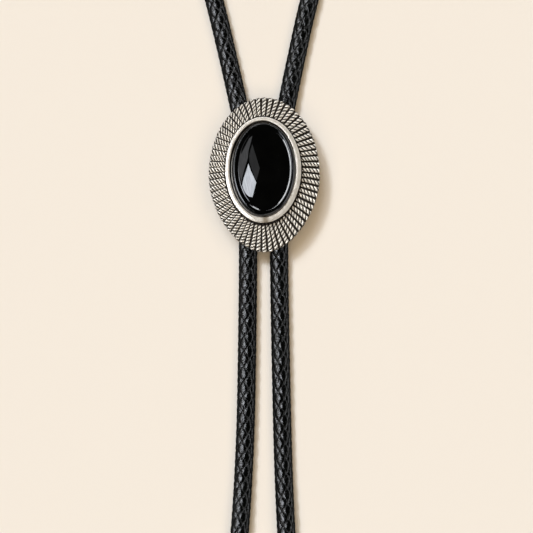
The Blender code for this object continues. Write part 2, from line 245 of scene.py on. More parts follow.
class Nodes:
    """A short way to fill a node tree."""

    def __init__(self, tree: bpy.types.NodeTree) -> None:
        """Keep the tree that is being filled."""
        self.tree = tree

    def add(self, kind: str, **values: object) -> bpy.types.Node:
        """Add a node and set its properties.

        Args:
            kind: the node's type.
            **values: properties by name.

        Returns:
            The new node.
        """
        node = self.tree.nodes.new(kind)
        for name, value in values.items():
            setattr(node, name, value)
        return node

    def place(self) -> bpy.types.NodeSocket:
        """Object coordinates, in metres."""
        return self.add("ShaderNodeTexCoord").outputs["Object"]

    def mark(self, name: str, output: str = "Fac") -> bpy.types.NodeSocket:
        """A mark that the piece's vertices carry, as a number or as a vector."""
        return self.add("ShaderNodeAttribute", attribute_name=name).outputs[output]

    def join(self, source: bpy.types.NodeSocket, target: bpy.types.NodeSocket) -> None:
        """Link one socket to another."""
        self.tree.links.new(source, target)

    def value(
        self, source: bpy.types.NodeSocket | float | Colour, target: bpy.types.NodeSocket
    ) -> None:
        """Link a socket to the target, or set a number or a colour on it.

        Args:
            source: the socket, the number or the colour.
            target: the input that takes it.
        """
        if isinstance(source, bpy.types.NodeSocket):
            self.join(source, target)
        else:
            target.default_value = (*source, 1.0) if isinstance(source, tuple) else source

    def fill(self, node: bpy.types.Node, **values: object) -> None:
        """Set or link several inputs of a node.

        Args:
            node: the node.
            **values: sockets, numbers or colours, by the input's name with _ for a space.
        """
        for name, value in values.items():
            self.value(value, node.inputs[name.replace("_", " ")])

    def maths(
        self,
        operation: str,
        first: bpy.types.NodeSocket | float,
        second: bpy.types.NodeSocket | float = 0.0,
    ) -> bpy.types.NodeSocket:
        """A Math node.

        Args:
            operation: what it works out.
            first: its first number or the socket that gives it.
            second: its second.

        Returns:
            The result's socket.
        """
        node = self.add("ShaderNodeMath", operation=operation)
        self.value(first, node.inputs[0])
        self.value(second, node.inputs[1])
        return node.outputs[0]

    def spread(
        self,
        source: bpy.types.NodeSocket,
        low: float,
        high: float,
        new_low: float = 0.0,
        new_high: float = 1.0,
    ) -> bpy.types.NodeSocket:
        """A Map Range node, clamped.

        Args:
            source: the value to map.
            low: the value that becomes new_low.
            high: the value that becomes new_high.
            new_low: the result at low.
            new_high: the result at high.

        Returns:
            The result's socket.
        """
        node = self.add("ShaderNodeMapRange", interpolation_type="SMOOTHSTEP")
        self.fill(node, Value=source, From_Min=low, From_Max=high, To_Min=new_low, To_Max=new_high)
        return node.outputs["Result"]

    def noise(
        self,
        vector: bpy.types.NodeSocket,
        scale: bpy.types.NodeSocket | float,
        detail: float,
        rough: float = 0.55,
    ) -> bpy.types.NodeSocket:
        """A Noise texture.

        Args:
            vector: where it is read.
            scale: waves in a metre.
            detail: octaves.
            rough: how strong the finer octaves are.

        Returns:
            The socket of its value.
        """
        node = self.add("ShaderNodeTexNoise")
        self.fill(node, Vector=vector, Scale=scale, Detail=detail, Roughness=rough)
        return node.outputs["Fac"]

    def stretch(
        self, vector: bpy.types.NodeSocket, scale: tuple[float, float, float]
    ) -> bpy.types.NodeSocket:
        """A Mapping node that scales a vector along its three axes.

        Args:
            vector: the vector.
            scale: by how much, for each axis.

        Returns:
            The scaled vector's socket.
        """
        node = self.add("ShaderNodeMapping", vector_type="POINT")
        self.join(vector, node.inputs["Vector"])
        node.inputs["Scale"].default_value = scale
        return node.outputs["Vector"]

    def blend(
        self,
        share: bpy.types.NodeSocket,
        first: bpy.types.NodeSocket | Colour,
        second: bpy.types.NodeSocket | Colour,
    ) -> bpy.types.NodeSocket:
        """A colour between two.

        Args:
            share: 0 for the first colour and 1 for the second.
            first: the first colour or its socket.
            second: the second colour or its socket.

        Returns:
            The colour's socket.
        """
        node = self.add("ShaderNodeMix", data_type="RGBA")
        self.fill(node, Factor=share, A=first, B=second)
        return next(socket for socket in node.outputs if socket.type == "RGBA")

    def group(self, made: bpy.types.NodeTree, **values: object) -> bpy.types.Node:
        """Place a node group and set or link its inputs.

        Args:
            made: the group.
            **values: numbers, colours or sockets for the inputs, by name with _ for a space.

        Returns:
            The group's node.
        """
        node = self.add("ShaderNodeGroup", node_tree=made)
        self.fill(node, **values)
        return node


def new_group(name: str, takes: dict[str, str], gives: dict[str, str]) -> bpy.types.NodeTree:
    """An empty shader node group with named sockets.

    Args:
        name: the group's name.
        takes: socket type of each input.
        gives: socket type of each output.

    Returns:
        The group.
    """
    made = bpy.data.node_groups.new(name, "ShaderNodeTree")
    for label, kind in takes.items():
        made.interface.new_socket(label, in_out="INPUT", socket_type=kind)
    for label, kind in gives.items():
        made.interface.new_socket(label, in_out="OUTPUT", socket_type=kind)
    return made


def hand_wear_group() -> bpy.types.NodeTree:
    """Wear of handled metal: fine pits and soft waves, as a height and as a change of roughness.

    Returns:
        The group, with outputs Height and Roughness.
    """
    found = bpy.data.node_groups.get("hand_wear")
    if found:
        return found
    takes = {
        "Vector": "NodeSocketVector",
        "Fine Scale": "NodeSocketFloat",
        "Roughness": "NodeSocketFloat",
        "Change": "NodeSocketFloat",
    }
    made = new_group("hand_wear", takes, {"Height": "NodeSocketFloat", "Roughness": "NodeSocketFloat"})
    nodes = Nodes(made)
    given = nodes.add("NodeGroupInput").outputs
    result = nodes.add("NodeGroupOutput").inputs
    fine = nodes.noise(given["Vector"], given["Fine Scale"], PIT_DETAIL, PIT_ROUGHNESS)
    broad = nodes.noise(given["Vector"], DENT_SCALE, DENT_DETAIL)
    nodes.join(nodes.maths("ADD", fine, broad), result["Height"])
    total = given["Roughness"]
    for part in (broad, fine):
        around = nodes.maths("SUBTRACT", part, NOISE_MIDDLE)
        total = nodes.maths("ADD", total, nodes.maths("MULTIPLY", around, given["Change"]))
    nodes.join(total, result["Roughness"])
    return made


def tarnish_group() -> bpy.types.NodeTree:
    """Darkening of recesses: the lower the relief, the more oxide hides the metal.

    Returns:
        The group, with outputs Color and Clean, which is 1 on bare metal.
    """
    found = bpy.data.node_groups.get("tarnish")
    if found:
        return found
    takes = {
        "Relief": "NodeSocketFloat",
        "Vector": "NodeSocketVector",
        "Metal": "NodeSocketColor",
        "Oxide": "NodeSocketColor",
        "Depth": "NodeSocketFloat",
    }
    made = new_group("tarnish", takes, {"Color": "NodeSocketColor", "Clean": "NodeSocketFloat"})
    nodes = Nodes(made)
    given = nodes.add("NodeGroupInput").outputs
    result = nodes.add("NodeGroupOutput").inputs
    spots = nodes.noise(given["Vector"], SPOT_SCALE, SPOT_DETAIL)
    uneven = nodes.maths("MULTIPLY", nodes.maths("SUBTRACT", spots, NOISE_MIDDLE), SPOT_SHARE)
    level = nodes.maths("SUBTRACT", nodes.maths("ADD", given["Relief"], uneven), given["Depth"])
    bare_share = nodes.spread(level, *CLEAN_BAND)
    nodes.join(nodes.blend(bare_share, given["Oxide"], given["Metal"]), result["Color"])
    nodes.join(bare_share, result["Clean"])
    return made


def blank_material(name: str) -> tuple[bpy.types.Material, Nodes, bpy.types.Node]:
    """A new material with only its Principled shader and its output.

    Args:
        name: the material's name.

    Returns:
        The material, its nodes and the shader.
    """
    made = bpy.data.materials.new(name)
    made.use_nodes = True
    nodes = Nodes(made.node_tree)
    return made, nodes, made.node_tree.nodes["Principled BSDF"]


def bump(nodes: Nodes, height: bpy.types.NodeSocket, depth: float, shader: bpy.types.Node) -> None:
    """Feed a height into the shader's normal.

    Args:
        nodes: the material's nodes.
        height: the height, from 0 to about 1.
        depth: how deep a height of 1 is, in metres.
        shader: the Principled shader.
    """
    node = nodes.add("ShaderNodeBump")
    nodes.fill(node, Strength=1.0, Distance=depth, Height=height)
    nodes.fill(shader, Normal=node.outputs["Normal"])


@dataclass(frozen=True)
class WornMetal:
    """Handled metal: fine pits and broad dents change its roughness and its surface."""

    name: str
    metal: Colour
    roughness: float
    change: float
    pit_scale: float

    def wear(self, nodes: Nodes, place: bpy.types.NodeSocket) -> bpy.types.Node:
        """Place the hand wear with this metal's values.

        Args:
            nodes: the material's nodes.
            place: where the wear is read.

        Returns:
            The wear's node, with outputs Height and Roughness.
        """
        return nodes.group(
            hand_wear_group(), Vector=place, Fine_Scale=self.pit_scale, Roughness=self.roughness,
            Change=self.change,
        )


@dataclass(frozen=True)
class AntiqueSilver(WornMetal):
    """Cast silver-coloured metal: bright where it is rubbed, dark where oxide stays."""

    name: str = "antique_silver"
    metal: Colour = (0.89, 0.825, 0.73)
    oxide: Colour = (0.016, 0.011, 0.006)
    roughness: float = 0.28
    change: float = 0.22
    oxide_depth: float = 0.49
    oxide_roughness: float = 0.3
    metallic: tuple[float, float] = (0.3, 0.5)
    pit_scale: float = 5200.0
    pit_depth: float = 0.000012

    def build(self) -> bpy.types.Material:
        """Make the material; it reads the mark relief, 0 in a gap and 1 on a crest.

        Returns:
            The material.
        """
        made, nodes, shader = blank_material(self.name)
        place = nodes.place()
        dark = nodes.group(
            tarnish_group(), Relief=nodes.mark("relief"), Vector=place, Metal=self.metal,
            Oxide=self.oxide, Depth=self.oxide_depth,
        )
        bare_share = dark.outputs["Clean"]
        wear = self.wear(nodes, place)
        dulled = nodes.spread(bare_share, 0, 1, self.oxide_roughness, 0)
        rough = nodes.maths("ADD", wear.outputs["Roughness"], dulled)
        metallic = nodes.spread(bare_share, 0, 1, *self.metallic)
        nodes.fill(shader, Base_Color=dark.outputs["Color"], Metallic=metallic, Roughness=rough)
        bump(nodes, wear.outputs["Height"], self.pit_depth, shader)
        return made


@dataclass(frozen=True)
class BurnishedSilver(WornMetal):
    """Smooth rubbed metal of the bezel and the tips, with fine marks along the rubbing."""

    name: str = "burnished_silver"
    metal: Colour = (0.93, 0.865, 0.775)
    # A darker colour: used for the random patches, and for the patch that makes the bezel darker at its
    # bottom.
    darkened: Colour = (0.30, 0.24, 0.17)
    roughness: float = 0.32
    change: float = 0.16
    metallic: float = 0.6
    pit_scale: float = 3800.0
    pit_share: float = 0.5
    line_scale: float = 9000.0
    line_stretch: float = 0.04
    line_detail: float = 3.0
    mark_depth: float = 0.000006
    patch_scale: float = 700.0
    patch_detail: float = 3.0
    patch_band: tuple[float, float] = (0.30, 0.62)
    bottom_dark_strength: float = 2.4
    bottom_dark_band: tuple[float, float] = (-2.0, 1.0)

    def build(self) -> bpy.types.Material:
        """Make the material; it reads the mark rubbed: distance along, across and outwards.

        Returns:
            The material.
        """
        made, nodes, shader = blank_material(self.name)
        rubbed = nodes.mark("rubbed", "Vector")
        place = nodes.place()
        drawn = nodes.stretch(rubbed, (self.line_stretch, 1.0, 1.0))
        lines = nodes.noise(drawn, self.line_scale, self.line_detail)
        wear = self.wear(nodes, place)
        # The bezel is painted darker at its bottom. A mark that is 1 there pulls the colour towards the
        # darker one, on top of the random patches.
        bottom_dark = nodes.mark("bottom_dark")
        cloudy = nodes.noise(place, self.patch_scale, self.patch_detail)
        patches = nodes.spread(cloudy, *self.patch_band)
        darkened = nodes.maths("MULTIPLY", bottom_dark, self.bottom_dark_strength)
        bare_share = nodes.spread(nodes.maths("SUBTRACT", patches, darkened), *self.bottom_dark_band)
        colour = nodes.blend(bare_share, self.darkened, self.metal)
        rough = wear.outputs["Roughness"]
        nodes.fill(shader, Base_Color=colour, Metallic=self.metallic, Roughness=rough)
        pits = nodes.maths("MULTIPLY", wear.outputs["Height"], self.pit_share)
        bump(nodes, nodes.maths("ADD", pits, lines), self.mark_depth, shader)
        return made


@dataclass(frozen=True)
class SatinNickel(WornMetal):
    """Plain plated metal of the keeper."""

    name: str = "satin_nickel"
    metal: Colour = (0.60, 0.58, 0.54)
    dull_share: float = 0.7
    roughness: float = 0.36
    change: float = 0.2
    pit_scale: float = 4200.0
    pit_depth: float = 0.000008
    patch_scale: float = 500.0
    patch_detail: float = 3.0
    patch_band: tuple[float, float] = (0.3, 0.7)

    def build(self) -> bpy.types.Material:
        """Make the material.

        Returns:
            The material.
        """
        made, nodes, shader = blank_material(self.name)
        place = nodes.place()
        wear = self.wear(nodes, place)
        shade = nodes.spread(nodes.noise(place, self.patch_scale, self.patch_detail), *self.patch_band)
        dull = tuple(self.dull_share * part for part in self.metal)
        colour = nodes.blend(shade, dull, self.metal)
        nodes.fill(shader, Base_Color=colour, Metallic=1.0, Roughness=wear.outputs["Roughness"])
        bump(nodes, wear.outputs["Height"], self.pit_depth, shader)
        return made


@dataclass(frozen=True)
class BlackOnyx:
    """Mirror-polished black stone."""

    name: str = "black_onyx"
    colour: Colour = (0.0006, 0.0006, 0.0005)
    cloud: Colour = (0.0014, 0.0014, 0.0012)
    cloud_scale: float = 160.0
    cloud_detail: float = 4.0
    cloud_band: tuple[float, float] = (0.35, 0.7)
    roughness: float = 0.02
    haze: float = 0.02
    haze_scale: float = 2600.0
    haze_detail: float = 3.0
    haze_band: tuple[float, float] = (0.3, 0.8)
    ior: float = 1.54

    def build(self) -> bpy.types.Material:
        """Make the material.

        Returns:
            The material.
        """
        made, nodes, shader = blank_material(self.name)
        place = nodes.place()
        shade = nodes.spread(nodes.noise(place, self.cloud_scale, self.cloud_detail), *self.cloud_band)
        colour = nodes.blend(shade, self.colour, self.cloud)
        uneven = nodes.noise(place, self.haze_scale, self.haze_detail)
        polish = nodes.spread(uneven, *self.haze_band, self.roughness, self.roughness + self.haze)
        nodes.fill(shader, Base_Color=colour, Roughness=polish, IOR=self.ior)
        return made


@dataclass(frozen=True)
class BraidedLeather:
    """Glossy black leather lace, wrinkled along its length where it bends over its neighbours."""

    name: str = "black_leather"
    colour: Colour = (0.0006, 0.0007, 0.0005)
    worn: Colour = (0.0016, 0.0017, 0.0014)
    roughness: float = 0.13
    roughness_change: tuple[float, float] = (-0.04, 0.08)
    patch_scale: float = 520.0
    patch_detail: float = 3.0
    patch_band: tuple[float, float] = (0.3, 0.7)
    fibre_scale: float = 3600.0
    fibre_detail: float = 4.0
    fibre_roughness: float = 0.6
    fibre_share: float = 0.35
    rub_band: tuple[float, float] = (0.42, 0.72)
    crease_scale: float = 1700.0
    crease_detail: float = 2.0
    crease_width: float = 0.14
    stretched: float = 0.30
    grain_scale: float = 9000.0
    grain_detail: float = 2.0
    grain_share: float = 0.2
    wrinkle_depth: float = 0.000030
    ior: float = 1.56

    def build(self) -> bpy.types.Material:
        """Make the material; it reads the mark lace: distance along, across and the lace's number.

        Returns:
            The material.
        """
        made, nodes, shader = blank_material(self.name)
        lace = nodes.mark("lace", "Vector")
        place = nodes.place()
        lengthwise = nodes.stretch(lace, (self.stretched, 1.0, 1.0))
        fibres = nodes.noise(lengthwise, self.fibre_scale, self.fibre_detail, self.fibre_roughness)
        crosswise = nodes.stretch(lace, (1.0, self.stretched, 1.0))
        creases = nodes.noise(crosswise, self.crease_scale, self.crease_detail)
        folds = nodes.maths("ABSOLUTE", nodes.maths("SUBTRACT", creases, NOISE_MIDDLE))
        ridges = nodes.spread(folds, 0.0, self.crease_width)
        grain = nodes.noise(place, self.grain_scale, self.grain_detail)
        height = nodes.maths("ADD", nodes.maths("MULTIPLY", fibres, self.fibre_share), ridges)
        height = nodes.maths("ADD", height, nodes.maths("MULTIPLY", grain, self.grain_share))
        rub = nodes.spread(fibres, *self.rub_band)
        colour = nodes.blend(rub, self.colour, self.worn)
        patches = nodes.noise(place, self.patch_scale, self.patch_detail)
        smooth, rough = (self.roughness + change for change in self.roughness_change)
        sheen = nodes.spread(patches, *self.patch_band, smooth, rough)
        nodes.fill(shader, Base_Color=colour, Roughness=sheen, IOR=self.ior)
        bump(nodes, height, self.wrinkle_depth, shader)
        return made


@dataclass(frozen=True)
class PaleTable:
    """Cream surface that the tie lies on."""

    name: str = "pale_table"
    colour: Colour = (0.80, 0.716, 0.624)
    roughness: float = 0.95
    shine: float = 0.0

    def build(self) -> bpy.types.Material:
        """Make the material.

        Returns:
            The material.
        """
        made, nodes, shader = blank_material(self.name)
        nodes.fill(
            shader, Base_Color=self.colour, Roughness=self.roughness, Specular_IOR_Level=self.shine
        )
        return made


@dataclass
class RayedSetting:
    """The plate with its rope-twisted rays and the smooth bezel wall around the stone.

    Names with left say by how much the ropes differ at the slide's left side, where they are wider,
    wound closer and steeper, and run into each other. The bezel's waver is a sum of waves round it,
    each with its order, amount and start.
    """

    rays: int = 66
    columns_per_ray: int = 22
    rows_along_ray: int = 62
    taper: float = 0.037
    lean: float = math.radians(5.0)
    slip: float = math.radians(2.5)
    floor_thickness: float = 0.0010
    crown: float = 0.0005
    cup_floor: float = 0.0013
    ray_height: float = 0.0009
    height_spread: float = 0.035
    highest: float = 1.1
    sway_spread: float = 0.04
    side_width: float = 0.10
    shoulder: float = 0.42
    roundness: float = 2.6
    rope_share: float = 0.350
    left_gain: float = 0.125
    rope_lay: float = 0.00104
    lay_spread: float = 0.07
    left_lay: float = 0.80
    left_slant: float = 1.7
    groove_depth: float = 0.00036
    groove_spread: float = 0.62
    left_spread: float = 0.20
    groove_fade: float = 0.6
    groove_shade: float = 0.85
    rim_notch: float = 0.00016
    rim_chamfer: float = 0.0002
    rim_bulge: float = 0.00004
    rim_middle: float = 0.5
    rim_shade: float = 0.55
    under_shade: float = 0.6
    hidden_end: float = 0.0003
    inner_round: float = 0.05
    inner_height: float = 0.75
    end_round: float = 0.05
    dark_foot: float = 0.075
    cup_reach: float = 0.9
    bezel_wall: float = 0.00118
    bezel_foot: float = 0.6
    wall_bends: tuple[float, float] = (0.4, 0.55)
    lip_shift: tuple[float, float] = (-0.00015, 0.00026)
    lip_lean: float = 0.10
    lip_lift: float = 0.00010
    lip_radii: tuple[float, float] = (0.00026, 0.00014)
    lip_points: tuple[int, int] = (7, 5)
    crown_places: tuple[tuple[float, float], ...] = ((0.50, 0.2), (0.68, 0.3))
    inner_lift: float = 0.1
    waver: tuple[tuple[int, float, float], ...] = (
        (3, 0.000025, 0.4),
        (7, 0.000016, 2.1),
        (11, 0.000012, 4.0),
    )
    waver_lift: float = 0.6
    bezel_height: float = 0.0045
    gap: float = 0.0003
    bezel_columns: int = 480
    # Where round the bezel its colour is painted darker, and how wide that patch is.
    bottom_dark_turn: float = math.radians(274.0)
    bottom_dark_spread: float = math.radians(7.0)
    outline_samples: int = 2880
    seed: int = 7

    def __post_init__(self) -> None:
        """Take the plate's and the stone's places from the CAD nodes."""
        low, high = box_of("sunburst_setting")
        stone_low, stone_high = box_of("onyx_stone")
        self.bottom = low[2]
        self.plate_half = (high[:2] - low[:2]) / 2
        self.plate_centre = (high[:2] + low[:2]) / 2
        self.stone_centre = (stone_high[:2] + stone_low[:2]) / 2
        self.cup_half = (stone_high[:2] - stone_low[:2]) / 2 + self.gap
        self.bezel_half = self.cup_half + self.bezel_wall
        self.valley = self.bottom + self.floor_thickness
        self.random = np.random.default_rng(self.seed)

    def rim(self, turn: Array, inset: Array | float) -> Array:
        """The plate's outline: an oval, drawn in by taper times sin(2 turn) squared below its middle.

        Args:
            turn: angles round the outline.
            inset: distance inwards.

        Returns:
            X and Y of each angle.
        """
        draw_in = np.where(np.sin(turn) < 0, 1 - self.taper * np.sin(2 * turn) ** 2, 1.0)
        x = self.plate_centre[0] + (self.plate_half[0] - inset) * draw_in * np.cos(turn)
        y = self.plate_centre[1] + (self.plate_half[1] - inset) * draw_in * np.sin(turn)
        return np.stack([x, y], -1)

    def oval(self, turn: Array, inset: Array | float) -> Array:
        """An oval round the stone's middle, inset from the bezel's outer wall.

        Args:
            turn: angles round the oval.
            inset: distance inwards.

        Returns:
            X and Y of each angle.
        """
        x = self.stone_centre[0] + (self.bezel_half[0] - inset) * np.cos(turn)
        y = self.stone_centre[1] + (self.bezel_half[1] - inset) * np.sin(turn)
        return np.stack([x, y], -1)

    def column_turns(self, shares: Array) -> Array:
        """Angles of points that are spaced evenly along the outline, from its top.

        Args:
            shares: shares of the way round.

        Returns:
            The angle of each.
        """
        turn = math.pi / 2 + np.linspace(0, FULL_TURN, self.outline_samples + 1)
        run = arc_run(self.rim(turn, 0.0))
        return np.interp(shares * run[-1], run, turn)

    def rope_relief(
        self, across: Array, turns: Array, half: Array, spread: Array, slant: Array
    ) -> tuple[Array, Array]:
        """Height of one rope from its gap to its crest, as a share of the ray's height.

        The section is a flattened round on low upright sides. Grooves wind round it: the count of
        turns grows with the distance along and with the angle round the rope, and a groove follows
        each whole turn, with a depth that falls off as a bell curve.

        Args:
            across: place across the ray, from -0.5 to 0.5.
            turns: turns that the winding has made by this distance along the rope.
            half: half the rope's width, as a share of the ray's pitch.
            spread: width of a groove's bell curve, as a share of half a turn.
            slant: turns that a groove makes while it crosses the rope's upper side.

        Returns:
            The shares, and how far each place stands out of gaps and grooves.
        """
        reach = np.clip(np.abs(across) / half, 0, 1)
        angle = np.arcsin(np.clip(across / half, -1, 1))
        turns = turns + slant * angle / math.pi
        away = np.abs(turns - np.round(turns)) * 2
        groove = np.exp(-((away / spread) ** 2))
        side = np.clip((1 - reach) / self.side_width, 0, 1)
        top = (1 - self.shoulder) * (1 - reach**self.roundness) ** 0.5
        body = side * (self.shoulder + top)
        cut = groove * (1 - self.groove_fade * reach**2)
        dug = (self.groove_depth / self.ray_height) * side * cut
        return body - dug, body * (1 - self.groove_shade * cut)

    def ray_rings(self) -> tuple[Array, Array]:
        """Points of the ray surface, from under the bezel to the rim.

        Each ray runs straight from the inner oval to the rim. Its height is the valley floor, which
        falls by the square of the share along it, plus the rope's relief, rounded at both ends.

        Returns:
            The points of shape (rows, columns, 3) and their relief marks.
        """
        cell = np.arange(self.columns_per_ray) / self.columns_per_ray - 0.5
        ray = np.repeat(np.arange(self.rays), self.columns_per_ray)
        across = np.tile(cell, self.rays)
        outer_turn = self.column_turns(np.mod((ray + across) / self.rays, 1.0))
        outer_turn = outer_turn + np.where(ray + across < 0, -FULL_TURN, 0.0)
        inner_turn = outer_turn + self.lean * np.sin(2 * outer_turn) - self.slip * np.cos(outer_turn)
        share = np.linspace(0, 1, self.rows_along_ray)[:, None]
        tall = 1 + self.random.normal(0, self.height_spread, self.rays)
        twist = self.random.uniform(0, 1, self.rays)
        sway = self.random.normal(0, self.sway_spread, self.rays)
        lay = self.rope_lay * (1 + self.random.normal(0, self.lay_spread, self.rays))[ray]
        inner = self.oval(inner_turn, self.hidden_end)
        leftness = np.clip(-np.cos(outer_turn), 0, 1)
        half = self.rope_share + self.left_gain * leftness
        spread = self.groove_spread + self.left_spread * leftness
        reach_in = np.clip(1 - np.abs(across) / half, 0, 1) ** 0.5
        outer = self.rim(outer_turn, self.rim_notch * (1 - reach_in))
        flat = inner[None] + (outer - inner)[None] * share[..., None]
        length = np.linalg.norm(outer - inner, axis=1)
        along = share * length[None]
        bend = sway[ray][None] * np.sin(math.pi * share)
        lay = lay * (1 - (1 - self.left_lay) * leftness)
        turns = along / lay[None] + twist[ray][None]
        slant = 1 + (self.left_slant - 1) * leftness
        place = across[None] + bend
        relief, mark = self.rope_relief(place, turns, half[None], spread[None], slant[None])
        started = np.clip(share / self.inner_round, 0, 1) ** 0.5
        inner_end = self.inner_height + (1 - self.inner_height) * started
        last = np.clip((share - (1 - self.end_round)) / self.end_round, 0, 1)
        outer_end = self.shoulder + (1 - self.shoulder) * np.sqrt(1 - last**2)
        relief = np.clip(relief, 0, self.highest) * outer_end * inner_end
        base = self.valley + self.crown * (1 - share**2)
        height = base + self.ray_height * tall[ray][None] * relief
        points = np.concatenate([flat, height[..., None]], -1)
        return points, mark * np.clip((share - self.dark_foot) / self.dark_foot, 0, 1)

    def build_plate(self, finish: bpy.types.Material) -> bpy.types.Object:
        """The plate: cup floor, rays, rim and underside as one closed skin.

        Args:
            finish: its material.

        Returns:
            The piece.
        """
        rays, mark = self.ray_rings()
        columns = rays.shape[1]
        first = rays[0, :, :2]
        towards = self.stone_centre - first
        towards /= np.linalg.norm(towards, axis=1)[:, None]
        cup = self.bottom + self.cup_floor
        inner = first + towards * (self.bezel_wall * self.cup_reach)
        cup_ring = np.column_stack([inner, np.full(columns, cup)])
        rim_xy = rays[-1, :, :2]
        outwards = rim_xy - self.plate_centre
        outwards /= np.linalg.norm(outwards, axis=1)[:, None]
        middle = np.full(columns, self.bottom + self.rim_middle * self.floor_thickness)
        side = np.column_stack([rim_xy + outwards * self.rim_bulge, middle])
        edge = np.column_stack([rim_xy, np.full(columns, self.bottom + self.rim_chamfer)])
        under = np.column_stack([rim_xy - outwards * self.rim_chamfer, np.full(columns, self.bottom)])
        rings = np.concatenate([cup_ring[None], rays, side[None], edge[None], under[None]])
        marks = np.concatenate([np.zeros((1, columns)), mark, np.full((3, columns), self.rim_shade)])
        first_pole = np.array([*self.stone_centre, cup])
        last_pole = np.array([*self.plate_centre, self.bottom])
        points, faces = capped_skin(rings, first_pole, last_pole)
        relief = np.concatenate([marks.ravel(), [0.0, self.under_shade]])
        piece = make_piece("rayed_plate", points, faces, finish, {"relief": relief})
        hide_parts("sunburst_setting")
        return piece

    def bezel_section(self) -> Array:
        """Section of the bezel wall: distance in from its outer wall, and height over the plate.

        Two upright sides with a quarter round on each and a low crown of two points between them.

        Returns:
            The points, going up the outer wall, over the softly rounded top and down inside.
        """
        wall, top, lift = self.bezel_wall, self.bezel_height, self.lip_lift
        outer_radius, inner_radius = self.lip_radii
        outer_arc = np.linspace(0, math.pi / 2, self.lip_points[0])
        inner_arc = np.linspace(math.pi / 2, 0, self.lip_points[1])
        outer_in = outer_radius * (1 - np.cos(outer_arc))
        outer_up = top - lift - outer_radius * (1 - np.sin(outer_arc))
        inner_in = wall + self.lip_lean * wall - inner_radius * (1 - np.cos(inner_arc))
        inner_up = top + self.inner_lift * lift - inner_radius * (1 - np.sin(inner_arc))
        crown = np.array([(share * wall, top + rise * lift) for share, rise in self.crown_places])
        foot = self.floor_thickness * self.bezel_foot
        start = np.array([[0.0, foot], [0.0, self.wall_bends[0] * top]])
        end = np.array([[wall, self.wall_bends[1] * top], [wall, foot]])
        outer = np.column_stack([outer_in, outer_up])
        inner = np.column_stack([inner_in, inner_up])
        return np.vstack([start, outer, crown, inner, end])

    def build_bezel(self, finish: bpy.types.Material) -> bpy.types.Object:
        """The bezel wall: its section carried round the oval, with the unevenness of hand rubbing.

        Args:
            finish: its material.

        Returns:
            The piece.
        """
        section = self.bezel_section()
        turn = np.arange(self.bezel_columns) * FULL_TURN / self.bezel_columns
        waver = sum(amount * np.sin(order * turn + start) for order, amount, start in self.waver)
        bend = self.wall_bends[0]
        rings = []
        marks = []
        run = arc_run(self.oval(turn, 0.0))
        for inset, height in section:
            share = np.clip((height / self.bezel_height - bend) / (1 - bend), 0, 1)
            lip = share * min(inset / self.bezel_wall, 1.0)
            flat = self.oval(turn, inset - waver * share) + lip * np.array(self.lip_shift)
            lifted = self.bottom + height + self.waver_lift * waver * share
            rings.append(np.column_stack([flat, lifted]))
            across = np.full(len(turn), inset)
            marks.append(np.column_stack([run, across, np.full(len(turn), height)]))
        grid = np.array(rings)
        count, columns = grid.shape[:2]
        quads = wrapped_quads(count, columns)
        last = np.arange(columns) + (count - 1) * columns
        first = np.arange(columns)
        seam = np.stack([last, np.roll(last, -1), np.roll(first, -1), first], -1)
        points = grid.reshape(-1, 3)
        faces = outward(points, [np.vstack([quads, seam])])
        rubbed = np.array(marks).reshape(-1, 3)
        # Mark for a patch of darker colour at the bottom of the bezel, fading as a bell curve round it.
        away = (turn - self.bottom_dark_turn) / self.bottom_dark_spread
        bottom_dark = np.tile(np.exp(-(away**2)), count)
        piece = make_piece("bezel_wall", points, faces, finish, {"rubbed": rubbed, "bottom_dark": bottom_dark})
        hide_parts("sunburst_setting")
        return piece


